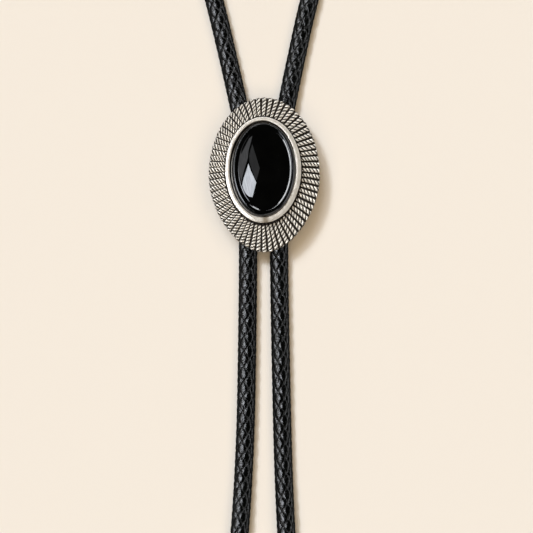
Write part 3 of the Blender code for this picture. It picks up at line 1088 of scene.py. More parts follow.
@dataclass
class OnyxStone:
    """Oval stone with a raised bead round its rim and a low dome.

    The bead's section is given in shares of the rim's width, inwards, and of its height.
    """

    columns: int = 320
    rim_width: float = 0.00190
    rim_height: float = 0.0013
    dome_height: float = 0.0014
    dome_fullness: float = 0.35
    dome_shift: tuple[float, float] = (0.00022, 0.00026)
    dome_rows: int = 40
    rows_per_step: int = 5
    edge_blend: float = 0.00005
    blend_samples: int = 40
    foot_bevel: float = 0.0002
    bead_crest: float = 0.69
    bead: tuple[tuple[float, float], ...] = (
        (0.00, 0.00),
        (0.08, 0.40),
        (0.20, 0.86),
        (0.26, 0.98),
        (0.42, 1.155),
        (0.50, 1.205),
        (0.60, 1.215),
        (0.69, 1.211),
        (0.79, 1.150),
        (1.00, 1.00),
    )

    def __post_init__(self) -> None:
        """Take the stone's place from its CAD node."""
        low, high = box_of("onyx_stone")
        self.low = low
        self.half = (high[:2] - low[:2]) / 2
        self.centre = (high[:2] + low[:2]) / 2
        self.top = high[2]
        self.dome_base = self.top - self.dome_height
        self.rim_base = self.dome_base - self.rim_height
        self.dome_centre = self.centre + np.array(self.dome_shift)

    def rim_section(self) -> Array:
        """Section of the beaded rim: distance in from the edge, and height.

        Returns:
            Points from the top of the upright wall to the foot of the dome.
        """
        inwards, upwards = np.array(self.bead).T
        return np.column_stack([inwards * self.rim_width, self.rim_base + upwards * self.rim_height])

    def softened(self, section: Array) -> Array:
        """The section with its corners rounded: a short running mean of evenly spaced points.

        Args:
            section: the section's corners.

        Returns:
            Many more points along it.
        """
        run = arc_run(section)
        count = self.rows_per_step * (len(section) - 1) + 1
        places = np.linspace(0, run[-1], count)
        dense = np.linspace(0, run[-1], self.blend_samples * count)
        line = np.stack([np.interp(dense, run, section[:, axis]) for axis in (0, 1)], -1)
        width = max(1, int(self.edge_blend / (dense[1] - dense[0])))
        kernel = np.ones(2 * width + 1) / (2 * width + 1)
        padded = np.pad(line, ((width, width), (0, 0)), mode="edge")
        soft = np.stack([np.convolve(padded[:, axis], kernel, mode="valid") for axis in (0, 1)], -1)
        return np.stack([np.interp(places, dense, soft[:, axis]) for axis in (0, 1)], -1)

    def dome_rise(self, reach: Array) -> tuple[Array, Array]:
        """Height of the dome over its foot, and how fast it changes with the reach.

        The dome is the cap of an ellipsoid, cut where the square root of 1 minus (fullness times
        reach) squared has its value for a reach of 1.

        Args:
            reach: 1 at the dome's foot and 0 at its middle.

        Returns:
            The heights and their changes with the reach.
        """
        foot = math.sqrt(1 - self.dome_fullness**2)
        scale = self.dome_height / (1 - foot)
        root = np.sqrt(1 - (self.dome_fullness * reach) ** 2)
        return scale * (root - foot), -scale * self.dome_fullness**2 * reach / root

    def dome_at(self, places: Array) -> tuple[Array, Array]:
        """The dome over given places; beyond its foot it goes on as steep as at its foot.

        Args:
            places: X and Y, one row each.

        Returns:
            Heights and unit normals.
        """
        foot = self.half - self.rim_width
        offset = (places - self.dome_centre) / foot
        reach = np.maximum(np.linalg.norm(offset, axis=1), NEVER_ZERO)
        rise, change = self.dome_rise(np.minimum(reach, 1.0))
        slope = -(change / reach)[:, None] * offset / foot
        normal = np.column_stack([slope, np.ones(len(slope))])
        return self.dome_base + rise, normal / np.linalg.norm(normal, axis=1)[:, None]

    def build(self, finish: bpy.types.Material) -> bpy.types.Object:
        """The stone as one closed skin of oval rings, from its foot over the bead to the dome's top.

        The rings' middle moves to the dome's on the way up to the bead's crest, so that the bead's
        inner side has one slope all round.

        Args:
            finish: its material.

        Returns:
            The piece.
        """
        turn = np.arange(self.columns) * FULL_TURN / self.columns
        circle = np.stack([np.cos(turn), np.sin(turn)], -1)

        def ring(half: Array, height: float, share: float = 0.0) -> Array:
            """One oval ring at a height, a share of the way from the stone's middle to the dome's."""
            middle = self.centre + share * (self.dome_centre - self.centre)
            return np.column_stack([middle + half * circle, np.full(self.columns, height)])

        bevel = self.foot_bevel
        rings = [ring(self.half - bevel, self.low[2]), ring(self.half, self.low[2] + bevel)]
        for inset, height in self.softened(self.rim_section()):
            shifted = min(inset / (self.bead_crest * self.rim_width), 1.0)
            rings.append(ring(self.half - inset, height, shifted))
        foot = self.half - self.rim_width
        reaches = np.linspace(1, 0, self.dome_rows + 1)[1:-1]
        rises, _ = self.dome_rise(reaches)
        rings += [ring(foot * reach, self.dome_base + rise, 1.0) for reach, rise in zip(reaches, rises)]
        base_pole = np.array([*self.centre, self.low[2]])
        top_pole = np.array([*self.dome_centre, self.top])
        points, faces = capped_skin(np.array(rings), base_pole, top_pole)
        piece = make_piece("polished_stone", points, faces, finish)
        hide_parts("onyx_stone")
        return piece


@dataclass
class CordRoute:
    """The cord's centre line, from the left tip round the neck loop to the right tip."""

    curve_samples: int = 60
    keeper_lead: float = 0.0006
    sample_step: float = 0.00025

    def __post_init__(self) -> None:
        """Work the route out from the keeper's and the tips' places."""
        low, high = box_of("cord_keeper")
        _, tip_high = box_of("left_tip")
        radius = (high[2] - low[2]) / 2
        middle = (high[0] + low[0]) / 2
        spacing = (high[0] - low[0]) - 2 * radius
        self.keeper_lift = low[2] + radius - CORD_RADIUS
        self.tip_lift = tip_high[2] / 2 - CORD_RADIUS
        self.channel = {Side.LEFT: middle - spacing / 2, Side.RIGHT: middle + spacing / 2}
        self.keeper_low = low[1]
        self.keeper_high = high[1]
        line = smooth_curve(self.points(), self.curve_samples)
        line[:, 2] = np.maximum(line[:, 2], CORD_RADIUS)
        self.line = line
        self.run = arc_run(line)
        self.length = float(self.run[-1])

    def points(self) -> Array:
        """The route's own points.

        The list gives x, y, the share of the lift into the keeper and the share of the lift into a tip.

        Returns:
            The points in space.
        """
        left = self.channel[Side.LEFT]
        right = self.channel[Side.RIGHT]
        into = self.keeper_low - self.keeper_lead
        out = self.keeper_high + self.keeper_lead
        route = [
            (-0.00795, -0.1118, 0.0, 1.0),
            (-0.00725, -0.1035, 0.0, 1.0),
            (-0.00670, -0.0970, 0.0, 0.85),
            (-0.00596, -0.0850, 0.0, 0.10),
            (-0.00538, -0.0715, 0.0, 0.0),
            (-0.00490, -0.0480, 0.0, 0.0),
            (-0.00466, -0.0260, 0.12, 0.0),
            (left, into, 1.0, 0.0),
            (left, out, 1.0, 0.0),
            (-0.00580, 0.0130, 0.80, 0.0),
            (-0.00750, 0.0209, 0.35, 0.0),
            (-0.01030, 0.0335, 0.0, 0.0),
            (-0.01400, 0.0489, 0.0, 0.0),
            (-0.02695, 0.0960, 0.0, 0.0),
            (-0.04043, 0.1450, 0.0, 0.0),
            (-0.05390, 0.1940, 0.0, 0.0),
            (-0.06728, 0.2428, 0.0, 0.0),
            (-0.06824, 0.2755, 0.0, 0.0),
            (-0.05361, 0.3055, 0.0, 0.0),
            (-0.02881, 0.3241, 0.0, 0.0),
            (-0.00075, 0.3301, 0.0, 0.0),
            (0.02731, 0.3241, 0.0, 0.0),
            (0.05211, 0.3055, 0.0, 0.0),
            (0.06674, 0.2755, 0.0, 0.0),
            (0.06578, 0.2428, 0.0, 0.0),
            (0.05240, 0.1940, 0.0, 0.0),
            (0.03893, 0.1450, 0.0, 0.0),
            (0.02545, 0.0960, 0.0, 0.0),
            (0.01250, 0.0489, 0.0, 0.0),
            (0.00905, 0.0335, 0.0, 0.0),
            (0.00647, 0.0209, 0.35, 0.0),
            (0.00500, 0.0130, 0.80, 0.0),
            (right, out, 1.0, 0.0),
            (right, into, 1.0, 0.0),
            (0.00420, -0.0260, 0.12, 0.0),
            (0.00456, -0.0480, 0.0, 0.0),
            (0.00507, -0.0715, 0.0, 0.0),
            (0.00548, -0.0850, 0.0, 0.10),
            (0.00600, -0.0970, 0.0, 0.85),
            (0.00634, -0.1035, 0.0, 1.0),
            (0.00678, -0.1118, 0.0, 1.0),
        ]
        return np.array(
            [(x, y, CORD_RADIUS + k * self.keeper_lift + t * self.tip_lift) for x, y, k, t in route]
        )

    def at(self, run: Array) -> Array:
        """Points of the centre line at distances from its start.

        Args:
            run: the distances, of any shape.

        Returns:
            The points, with one more axis.
        """
        return np.stack([np.interp(run, self.run, self.line[:, axis]) for axis in range(3)], -1)

    def frames(self, run: Array) -> tuple[Array, Array]:
        """Sideways and upward directions across the cord at distances from its start.

        Args:
            run: the distances, of any shape.

        Returns:
            The sideways and the upward unit vectors.
        """
        inner = np.clip(run, self.sample_step, self.length - self.sample_step)
        ahead = self.at(inner + self.sample_step) - self.at(inner - self.sample_step)
        ahead /= np.linalg.norm(ahead, axis=-1)[..., None]
        side = np.cross(ahead, np.array([0.0, 0.0, 1.0]))
        side /= np.linalg.norm(side, axis=-1)[..., None]
        return side, np.cross(side, ahead)

    def run_at(self, side: Side, y: float) -> float:
        """Distance along the cord at which one of its two sides passes a height of the picture.

        Args:
            side: which side.
            y: the place along Y, near or under the keeper.

        Returns:
            The distance from the cord's start.
        """
        half = self.length / 2
        picked = self.run < half if side is Side.LEFT else self.run > half
        near = np.abs(self.line[:, 1] - y) + np.where(picked, 0.0, 1.0)
        return float(self.run[int(np.argmin(near))])


@dataclass
class RoundBraid:
    """Eight flat laces, four each way round, each going over one and under one.

    A lace's section is an oval whose sides and faces are squared off by the two powers.
    """

    route: CordRoute
    start: float
    laces_each_way: int = 4
    pitch: float = 0.01695
    crest_radius: float = 0.00270
    lace_width: float = 0.00285
    lace_thickness: float = 0.00076
    wave: float = 0.00026
    wave_sharpness: float = 0.6
    section_points: int = 8
    section_powers: tuple[float, float] = (0.80, 0.75)
    label_step: float = 0.37
    phase: float = math.pi / 8
    table_clearance: float = 0.00003

    @property
    def crossings(self) -> int:
        """Crossing columns round the cord."""
        return 2 * self.laces_each_way

    @property
    def step_along(self) -> float:
        """Distance along the cord from one crossing to the next."""
        return self.pitch / self.crossings

    def lace(self, number: int, clockwise: bool, centres: Array) -> tuple[Array, Array]:
        """Points of one lace.

        On the unrolled cord, u counts crossing columns round it and v counts crossings along it. A
        lace of one way runs along u - v = 2 number, and of the other way along u + v = 2 number. Its
        radius swings by a cosine between over and under, which turn into each other at each crossing.

        Args:
            number: which of the laces of its way.
            clockwise: which way it winds.
            centres: distances along the cord of its sections.

        Returns:
            The points of shape (sections, points of a section, 3) and the marks for the leather.
        """
        middle = self.crest_radius - self.wave - self.lace_thickness / 2
        step_along = self.step_along
        step_round = FULL_TURN * (middle + self.wave) / self.crossings
        slant = math.hypot(step_along, step_round)
        hand = 1.0 if clockwise else -1.0
        turn = np.append(np.linspace(0, math.pi, self.section_points - 1), 1.5 * math.pi)
        cosine, sine = np.cos(turn), np.sin(turn)
        side_power, face_power = self.section_powers
        across = self.lace_width / 2 * np.sign(cosine) * np.abs(cosine) ** side_power
        rise = self.lace_thickness / 2 * np.sign(sine) * np.abs(sine) ** face_power
        steps = (centres[:, None] - self.start) / step_along
        v = steps - across[None] * (hand * step_round / slant) / step_along
        u_line = 2 * number + hand * steps
        u = u_line + across[None] * (step_along / slant) / step_round
        if clockwise:
            swing = np.cos(math.pi * ((u + v) / 2 - number))
        else:
            swing = -np.cos(math.pi * (number - (u - v) / 2))
        swing = np.sign(swing) * np.abs(swing) ** self.wave_sharpness
        radius = middle + self.wave * swing + rise[None]
        angle = FULL_TURN * u / self.crossings + self.phase
        run = v * step_along + self.start
        side, up = self.route.frames(run)
        out = np.cos(angle)[..., None] * side + np.sin(angle)[..., None] * up
        points = self.route.at(run) + radius[..., None] * out
        points[..., 2] = np.maximum(points[..., 2], self.table_clearance)
        length = centres[:, None] * slant / step_along + 0 * across[None]
        spread = across[None] + 0 * length
        place = number + (0 if clockwise else self.laces_each_way)
        label = np.full_like(length, place * self.label_step)
        return points, np.stack([length, spread, label], -1)

    def build(
        self, name: str, centres: Array, finish: bpy.types.Material
    ) -> tuple[bpy.types.Object, Array]:
        """All laces along a stretch of the cord, as one mesh of closed bodies.

        Args:
            name: the piece's name.
            centres: distances along the cord of the sections.
            finish: the leather.

        Returns:
            The piece and the centre line that it follows.
        """
        all_points: list[Array] = []
        all_faces: list[list[Faces]] = [[], []]
        all_marks: list[Array] = []
        offset = 0
        for clockwise in (True, False):
            for number in range(self.laces_each_way):
                rings, marks = self.lace(number, clockwise, centres)
                points, (quads, *ends) = capped_skin(rings, rings[0].mean(0), rings[-1].mean(0))
                all_points.append(points)
                all_faces[0].append(quads + offset)
                all_faces[1].extend(group + offset for group in ends)
                all_marks.append(np.vstack([marks.reshape(-1, 3), marks[0, 0], marks[-1, 0]]))
                offset += len(points)
        faces = [np.vstack(all_faces[0]), np.vstack(all_faces[1])]
        piece = make_piece(name, np.vstack(all_points), faces, finish, {"lace": np.vstack(all_marks)})
        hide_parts("braided_cord")
        return piece, self.route.at(centres)


@dataclass
class Tip:
    """Turned metal tip on one end of the cord.

    The mouth and the collar give distances from the tip's mouth, and by how much the radius there
    differs from the bore's and from the collar's. The waist gives shares of the tip's length and of
    the radius's whole drop to the nose; along the body that share grows evenly with the distance.
    """

    side: Side
    route: CordRoute
    length: float = 0.028
    bore_depth: float = 0.009
    wall: float = 0.0005
    gap: float = 0.0003
    nose_radius: float = 0.0019
    mouth: tuple[tuple[float, float], ...] = ((0.0006, 0.0), (0.0002, 0.00008), (0.0, 0.00022))
    collar: tuple[tuple[float, float], ...] = ((0.0, -0.00018), (0.00012, -0.00005), (0.0004, 0.0))
    waist: tuple[tuple[float, float], ...] = ((0.05, 0.0), (0.058, 0.03), (0.070, 0.16), (0.082, 0.18))
    body: tuple[float, float] = (0.09, 0.90)
    body_points: int = 14
    body_drop: tuple[float, float] = (0.18, 0.66)
    nose_length: float = 0.0019
    nose_drop: float = 0.80
    nose_power: float = 0.8
    nose_start: float = 0.15
    nose_points: int = 8
    columns: int = 72

    def section(self, radius: float) -> Array:
        """Section of the tip: distance from its mouth and radius.

        Args:
            radius: the radius of its collar.

        Returns:
            Points from the floor of the bore, out over the collar and down to the nose.
        """
        drop = self.nose_radius - radius
        bore = CORD_RADIUS + self.gap
        line = [(self.bore_depth, bore)]
        line += [(run, bore + wider) for run, wider in self.mouth]
        line += [(run, radius + wider) for run, wider in self.collar]
        line += [(share * self.length, radius + down * drop) for share, down in self.waist]
        first, growth = self.body_drop
        for share in np.linspace(*self.body, self.body_points):
            line.append((share * self.length, radius + (first + growth * share) * drop))
        start = self.length - self.nose_length
        last = radius + self.nose_drop * drop
        for turn in np.linspace(self.nose_start, math.pi / 2, self.nose_points + 1)[:-1]:
            run = start + self.nose_length * math.sin(turn)
            line.append((run, last * math.cos(turn) ** self.nose_power))
        return np.array(line)

    def build(self, finish: bpy.types.Material) -> bpy.types.Object:
        """The tip as one closed skin around the line of the cord's last stretch.

        Args:
            finish: its material.

        Returns:
            The piece.
        """
        node = f"{self.side.value}_tip"
        low, high = box_of(node)
        radius = (high[2] - low[2]) / 2
        points = self.route.points()
        end, before = (points[0], points[1]) if self.side is Side.LEFT else (points[-1], points[-2])
        along = end - before
        along[2] = 0.0
        along /= np.linalg.norm(along)
        across = np.array([-along[1], along[0], 0.0])
        up = np.array([0.0, 0.0, 1.0])
        mouth = np.array([end[0], end[1], low[2] + radius]) - along * (self.bore_depth - self.gap)
        section = self.section(radius)
        turn = np.arange(self.columns) * FULL_TURN / self.columns
        out = np.outer(np.cos(turn), across) + np.outer(np.sin(turn), up)
        rings = mouth + section[:, None, :1] * along + section[:, None, 1:] * out[None]
        first = mouth + along * self.bore_depth
        last = mouth + along * self.length
        verts, faces = capped_skin(rings, first, last)
        around = np.tile(turn * radius, len(section))
        distance = np.repeat(section[:, 0], self.columns)
        rubbed = np.column_stack([around, distance, np.zeros(len(around))])
        rubbed = np.vstack([rubbed, [0.0, self.bore_depth, 0.0], [0.0, self.length, 0.0]])
        piece = make_piece(f"{self.side.value}_tip_metal", verts, faces, finish, {"rubbed": rubbed})
        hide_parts(node)
        return piece


@dataclass
class BraidedCord:
    """The whole cord: the neck loop and the two free ends, which meet inside the keeper.

    The crossings are places along Y, left and right, where a lace passes over in the column left of
    the top.
    """

    seen_reach: float = 0.062
    fine_step: float = 0.00033
    coarse_step: float = 0.00060
    tail_step: float = 0.00030
    tail_section_points: int = 12
    end_inset: float = 0.0015
    neck_crossings: tuple[float, float] = (0.0303, 0.0293)
    tail_crossings: tuple[float, float] = (-0.02624, -0.02498)

    def __post_init__(self) -> None:
        """Work the route out and find where the cord's three stretches meet.

        The right end's crossing is one step further up, which makes its laces begin the other way.
        """
        step = RoundBraid.pitch / (2 * RoundBraid.laces_each_way)
        left, right = self.tail_crossings
        self.tail_crossing = {Side.LEFT: left, Side.RIGHT: right + step}
        self.route = CordRoute()
        middle = (self.route.keeper_low + self.route.keeper_high) / 2
        self.left_join = self.route.run_at(Side.LEFT, middle)
        self.right_join = self.route.run_at(Side.RIGHT, middle)

    def neck_sections(self) -> Array:
        """Distances of the neck loop's sections, closer together in the stretches near the slide.

        Returns:
            The distances.
        """
        start, stop = self.left_join, self.right_join
        near = start + self.seen_reach
        far = stop - self.seen_reach
        stretches = [
            np.arange(start, near, self.fine_step),
            np.arange(near, far, self.coarse_step),
            np.arange(far, stop, self.fine_step),
            np.array([stop]),
        ]
        return np.concatenate(stretches)

    def build_neck(self, finish: bpy.types.Material) -> bpy.types.Object:
        """The neck loop, its pitch fitted so that a lace crosses at both of its seen places.

        Args:
            finish: the leather.

        Returns:
            The piece.
        """
        left, right = self.neck_crossings
        first = self.route.run_at(Side.LEFT, left)
        last = self.route.run_at(Side.RIGHT, right)
        braid = RoundBraid(self.route, start=first)
        steps = 2 * round((last - first) / (2 * braid.step_along)) + 1
        braid.pitch = braid.crossings * (last - first) / steps
        piece, _ = braid.build("neck_braid", self.neck_sections(), finish)
        return piece

    def build_tail(
        self, side: Side, finish: bpy.types.Material
    ) -> bpy.types.Object:
        """One free end of the cord.

        Args:
            side: which end.
            finish: the leather.

        Returns:
            The piece.
        """
        if side is Side.LEFT:
            centres = np.arange(self.end_inset, self.left_join, self.tail_step)
        else:
            centres = np.arange(self.right_join, self.route.length - self.end_inset, self.tail_step)
        crossing = self.route.run_at(side, self.tail_crossing[side])
        braid = RoundBraid(self.route, start=crossing, section_points=self.tail_section_points)
        piece, path = braid.build(f"{side.value}_tail_braid", centres, finish)
        if side is Side.LEFT:
            path = path[::-1]
        return piece


@dataclass(frozen=True)
class MirrorCard:
    """A luminous card that only polished surfaces mirror.

    Its outline is that of its mirror image on the stone's dome, in pixels of the picture.
    """

    name: str
    outline: tuple[tuple[float, float], ...]
    radiance: float
    colour: Colour


@dataclass(frozen=True)
class MirrorArc:
    """A luminous bent wall that only polished surfaces mirror, in degrees round and from the zenith.

    The taper is the power of the sine that its width follows from end to end.
    """

    name: str
    azimuths: tuple[float, float]
    zeniths: tuple[float, float]
    radiance: float
    colour: Colour
    taper: float


WINDOW_ARC = MirrorArc("window_arc", (98.0, 246.0), (48.8, 54.8), 15.8, (0.95, 0.97, 1.0), 1.3)
PANE_ARC = MirrorArc("pane_arc", (48.0, 80.0), (49.4, 54.2), 12.0, (0.95, 0.97, 1.0), 0.9)
LEFT_ARC = MirrorArc("left_arc", (118.0, 262.0), (62.0, 88.0), 0.5, (1.0, 0.98, 0.94), 0.3)
TOP_ARC = MirrorArc("top_arc", (55.0, 128.0), (62.0, 88.0), 2.3, (0.98, 0.98, 1.0), 0.3)
LOW_ARC = MirrorArc("low_arc", (250.0, 312.0), (62.0, 88.0), 1.3, (1.0, 0.98, 0.94), 0.3)
RIGHT_ARC = MirrorArc("right_arc", (-60.0, 74.0), (73.0, 85.0), 2.6, (0.97, 0.98, 1.0), 0.4)

WINDOW = MirrorCard(
    "window",
    (
        (248.4, 163.7), (250.7, 170.4), (253.8, 177.1), (256.2, 182.4), (254.3, 190.0),
        (252.4, 197.2), (248.9, 196.5), (245.8, 193.6), (243.6, 189.6), (242.2, 185.1),
        (243.6, 178.4), (245.8, 172.1),
    ),
    15.6,
    (0.89, 0.93, 1.0),
)
LEFT_WALL = MirrorCard(
    "left_wall",
    (
        (252.3, 135.8), (249.2, 138.4), (243.8, 149.0), (240.5, 155.2), (239.0, 163.2),
        (239.1, 171.3), (240.4, 178.0), (241.3, 182.2), (242.4, 176.5), (244.4, 169.0),
        (246.4, 162.6), (247.8, 158.0), (248.3, 151.2), (250.6, 143.0),
    ),
    1.45,
    (0.96, 0.97, 1.0),
)
RIGHT_WALL = MirrorCard(
    "right_wall",
    (
        (252.3, 144.2), (253.6, 148.5), (255.6, 155.0), (257.6, 161.5), (259.7, 168.4),
        (258.6, 172.5), (257.4, 177.2), (256.4, 180.4), (254.0, 175.2), (251.6, 169.0),
        (249.5, 162.2), (249.2, 156.0), (250.4, 150.0),
    ),
    0.62,
    (0.96, 0.98, 1.0),
)


@dataclass
class Studio:
    """Pale table, soft light from above the top left and the camera straight above.

    A light's slope is how far its direction leans along X and Y for each metre up. Bands are ranges
    of the height of a line of sight, as the sine of its angle, and glows are the room's strength at
    the two ends of the band.
    """

    stone: OnyxStone
    pixel: float = 0.00028
    image_side: int = 533
    slide_pixel: tuple[float, float] = (264.4, 174.8)
    sharp_height: float = 0.009
    camera_height: float = 0.45
    sensor: float = 36.0
    clip: tuple[float, float] = (0.01, 20.0)
    table_side: float = 3.0
    daylight: Colour = (0.715, 0.84, 1.0)
    sun_slope: tuple[float, float] = (-0.41, 0.44)
    sun_spread: float = math.radians(8.0)
    sun_strength: float = 1.21
    window_slope: tuple[float, float] = (-0.29, 0.46)
    window_spread: float = math.radians(26.0)
    window_strength: float = 1.55
    fill_side: float = 3.2
    fill_height: float = 2.2
    fill_power: float = 47.2
    fill_colour: Colour = (1.0, 0.845, 0.615)
    wall_band: tuple[float, float] = (0.20, 0.45)
    wall_glow: tuple[float, float] = (0.20, 0.012)
    foot_band: tuple[float, float] = (-0.35, -0.02)
    foot_glow: tuple[float, float] = (0.3, 1.0)
    room_colour: Colour = (1.0, 0.98, 0.95)
    card_distance: float = 1.2
    outline_parts: int = 6
    sight_rounds: int = 5
    arc_columns: int = 33
    arc_rows: int = 5
    arc_end: float = 0.04
    streak_turn: float = math.radians(-22.0)
    streak_stretch: float = 9.0
    streak_scale: float = 6.0
    streak_detail: float = 3.0
    streak_band: tuple[float, float] = (0.40, 0.62)
    streak_shade: float = 0.76

    def __post_init__(self) -> None:
        """Work out where the camera stands: the slide's middle pixel shows the origin."""
        middle = self.image_side / 2
        x = (middle - self.slide_pixel[0]) * self.pixel
        y = (self.slide_pixel[1] - middle) * self.pixel
        self.eye = np.array([x, y, self.camera_height + self.sharp_height])

    def build_camera(self) -> None:
        """Make the camera, which looks straight down."""
        data = bpy.data.cameras.new("camera")
        data.sensor_width = self.sensor
        data.lens = self.sensor * self.camera_height / (self.image_side * self.pixel)
        data.clip_start, data.clip_end = self.clip
        camera = bpy.data.objects.new("camera", data)
        camera.location = self.eye
        bpy.context.scene.collection.objects.link(camera)
        bpy.context.scene.camera = camera

    def build_table(self) -> None:
        """Make the table top, of which polished surfaces see only the room's dim foot."""
        half = self.table_side / 2
        corners = [(-half, -half, 0), (half, -half, 0), (half, half, 0), (-half, half, 0)]
        mesh = bpy.data.meshes.new("table")
        mesh.from_pydata(corners, [], [(0, 1, 2, 3)])
        mesh.materials.append(PaleTable().build())
        table = bpy.data.objects.new("table", mesh)
        table.visible_glossy = False
        bpy.context.scene.collection.objects.link(table)

    def mirrored_rays(self, pixels: Array) -> tuple[Array, Array]:
        """Where lines of sight meet the stone's dome, and where they go on from there.

        Each round takes the dome's height under the last guess and moves the guess along the line
        of sight to that height. The reflection turns the part along the normal round.

        Args:
            pixels: places in the picture, one row each.

        Returns:
            The points on the dome and the unit directions after the reflection.
        """
        x = (pixels[:, 0] - self.slide_pixel[0]) * self.pixel
        y = (self.slide_pixel[1] - pixels[:, 1]) * self.pixel
        sight = np.column_stack([x, y, np.full(len(x), self.sharp_height)]) - self.eye
        points = self.eye + sight
        for _ in range(self.sight_rounds):
            height, _ = self.stone.dome_at(points[:, :2])
            points = self.eye + sight * ((height - self.eye[2]) / sight[:, 2])[:, None]
        _, normal = self.stone.dome_at(points[:, :2])
        sight /= np.linalg.norm(sight, axis=1)[:, None]
        onwards = sight - 2 * (sight * normal).sum(1)[:, None] * normal
        return points, onwards

    def build_card(self, card: MirrorCard) -> None:
        """Hang up one card where the stone mirrors it with the given outline.

        Args:
            card: the card.
        """
        corners = np.array(card.outline)
        ahead = np.roll(corners, -1, axis=0)
        share = np.arange(self.outline_parts)[None, :, None] / self.outline_parts
        outline = (corners[:, None] + (ahead - corners)[:, None] * share).reshape(-1, 2)
        start, onwards = self.mirrored_rays(outline)
        facing = onwards.mean(0)
        facing /= np.linalg.norm(facing)
        middle = start.mean(0) + facing * self.card_distance
        reach = ((middle - start) @ facing) / (onwards @ facing)
        points = start + onwards * reach[:, None]
        mesh = bpy.data.meshes.new(card.name)
        mesh.from_pydata(points.tolist(), [], [tuple(range(len(points)))])
        self.hang(mesh, card.radiance, card.colour)

    def build_arc(self, arc: MirrorArc) -> None:
        """Stand up one bent wall round the table, a grid of directions times its distance.

        Its width follows a power of the sine along it, so that it thins out towards its ends.

        Args:
            arc: the wall.
        """
        columns, rows = self.arc_columns, self.arc_rows
        round_it = np.radians(np.linspace(*arc.azimuths, columns))
        azimuth, across = np.meshgrid(round_it, np.linspace(-0.5, 0.5, rows), indexing="ij")
        low, high = np.radians(arc.zeniths)
        share = np.linspace(0, 1, columns)[:, None]
        width = (high - low) * (self.arc_end + np.sin(math.pi * share) ** arc.taper)
        fall = (low + high) / 2 + width * across
        directions = np.stack(
            [np.sin(fall) * np.cos(azimuth), np.sin(fall) * np.sin(azimuth), np.cos(fall)], -1
        )
        points = directions.reshape(-1, 3) * self.card_distance
        along, up = np.meshgrid(np.arange(columns - 1), np.arange(rows - 1), indexing="ij")
        first = along * rows + up
        quads = np.stack([first, first + rows, first + rows + 1, first + 1], -1).reshape(-1, 4)
        mesh = bpy.data.meshes.new(arc.name)
        mesh.from_pydata(points.tolist(), [], quads.tolist())
        self.hang(mesh, arc.radiance, arc.colour)

    def hang(self, mesh: bpy.types.Mesh, radiance: float, colour: Colour) -> None:
        """Make a luminous stage object with faint streaks that only mirrors show.

        Args:
            mesh: its shape.
            radiance: its strength.
            colour: its colour.
        """
        finish = bpy.data.materials.new(mesh.name)
        finish.use_nodes = True
        finish.node_tree.nodes.clear()
        nodes = Nodes(finish.node_tree)
        glow = nodes.add("ShaderNodeEmission")
        place = nodes.place()
        turned = nodes.add("ShaderNodeMapping", vector_type="POINT")
        nodes.join(place, turned.inputs["Vector"])
        turned.inputs["Rotation"].default_value[2] = self.streak_turn
        drawn = nodes.stretch(turned.outputs["Vector"], (self.streak_stretch, 1.0, 1.0))
        lines = nodes.noise(drawn, self.streak_scale, self.streak_detail)
        streaks = nodes.spread(lines, *self.streak_band)
        dimmed = tuple(self.streak_shade * part for part in colour)
        nodes.fill(glow, Color=nodes.blend(streaks, dimmed, colour), Strength=radiance)
        nodes.fill(nodes.add("ShaderNodeOutputMaterial"), Surface=glow.outputs["Emission"])
        mesh.materials.append(finish)
        made = bpy.data.objects.new(mesh.name, mesh)
        made.visible_camera = False
        made.visible_diffuse = False
        made.visible_shadow = False
        bpy.context.scene.collection.objects.link(made)

    def add_light(
        self, data: bpy.types.Light, place: tuple[float, float, float], power: float, colour: Colour
    ) -> None:
        """Place a light that faces the slide and that polished surfaces don't mirror.

        Args:
            data: the light's own data.
            place: where it stands.
            power: its strength.
            colour: its colour.
        """
        data.energy = power
        data.color = colour
        light = bpy.data.objects.new(data.name, data)
        light.location = place
        light.rotation_mode = "QUATERNION"
        light.rotation_quaternion = (-Vector(place)).to_track_quat("-Z", "Y")
        light.visible_glossy = False
        bpy.context.scene.collection.objects.link(light)

    def build_lights(self) -> None:
        """Make the crisp main light, the broad window light, the overhead fill and what mirrors show."""
        main_light = bpy.data.lights.new("main_light", "SUN")
        main_light.angle = self.sun_spread
        self.add_light(main_light, (*self.sun_slope, 1.0), self.sun_strength, self.daylight)
        window_light = bpy.data.lights.new("window_light", "SUN")
        window_light.angle = self.window_spread
        self.add_light(window_light, (*self.window_slope, 1.0), self.window_strength, self.daylight)
        fill = bpy.data.lights.new("fill", "AREA")
        fill.shape = "SQUARE"
        fill.size = self.fill_side
        self.add_light(fill, (0.0, 0.0, self.fill_height), self.fill_power, self.fill_colour)
        for card in (WINDOW, LEFT_WALL, RIGHT_WALL):
            self.build_card(card)
        for arc in (WINDOW_ARC, PANE_ARC, LEFT_ARC, TOP_ARC, LOW_ARC, RIGHT_ARC):
            self.build_arc(arc)

    def build_room(self) -> None:
        """Make the room: dark overhead, with dim walls lower down and a dimmer foot."""
        world = bpy.data.worlds.new("room")
        world.use_nodes = True
        nodes = Nodes(world.node_tree)
        shade = world.node_tree.nodes["Background"]
        split = nodes.add("ShaderNodeSeparateXYZ")
        nodes.join(nodes.add("ShaderNodeTexCoord").outputs["Generated"], split.inputs[0])
        walls = nodes.spread(split.outputs["Z"], *self.wall_band, *self.wall_glow)
        foot = nodes.spread(split.outputs["Z"], *self.foot_band, *self.foot_glow)
        nodes.fill(shade, Color=self.room_colour, Strength=nodes.maths("MULTIPLY", walls, foot))
        bpy.context.scene.world = world
        bpy.context.scene.view_settings.view_transform = "Standard"


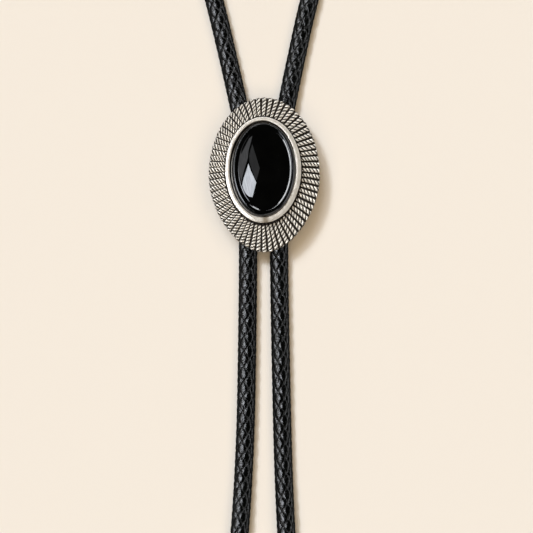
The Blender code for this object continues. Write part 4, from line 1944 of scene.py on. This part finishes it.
def dress_keeper() -> None:
    """Give the keeper, whose CAD shape is right, its own material."""
    keeper = bpy.data.objects["cord_keeper"]
    finish = SatinNickel().build()
    for slot in keeper.material_slots:
        slot.material = finish
    if not keeper.material_slots:
        keeper.data.materials.append(finish)


def main() -> None:
    """Build the studio and every piece, in order."""
    logging.basicConfig(level=logging.INFO, format="%(name)s: %(message)s")
    stone = OnyxStone()
    studio = Studio(stone)
    studio.build_camera()
    studio.build_table()
    studio.build_lights()
    studio.build_room()
    leather = BraidedLeather().build()
    burnished = BurnishedSilver().build()
    cord = BraidedCord()
    made = [cord.build_neck(leather)]
    for side in Side:
        tip = Tip(side, cord.route).build(burnished)
        made += [tip, cord.build_tail(side, leather)]
    setting = RayedSetting()
    made.append(setting.build_plate(AntiqueSilver().build()))
    made.append(setting.build_bezel(burnished))
    made.append(stone.build(BlackOnyx().build()))
    dress_keeper()
    for piece in made:
        LOG.info("%s: %d vertices", piece.name, len(piece.data.vertices))


if __name__ == "__main__":
    main()
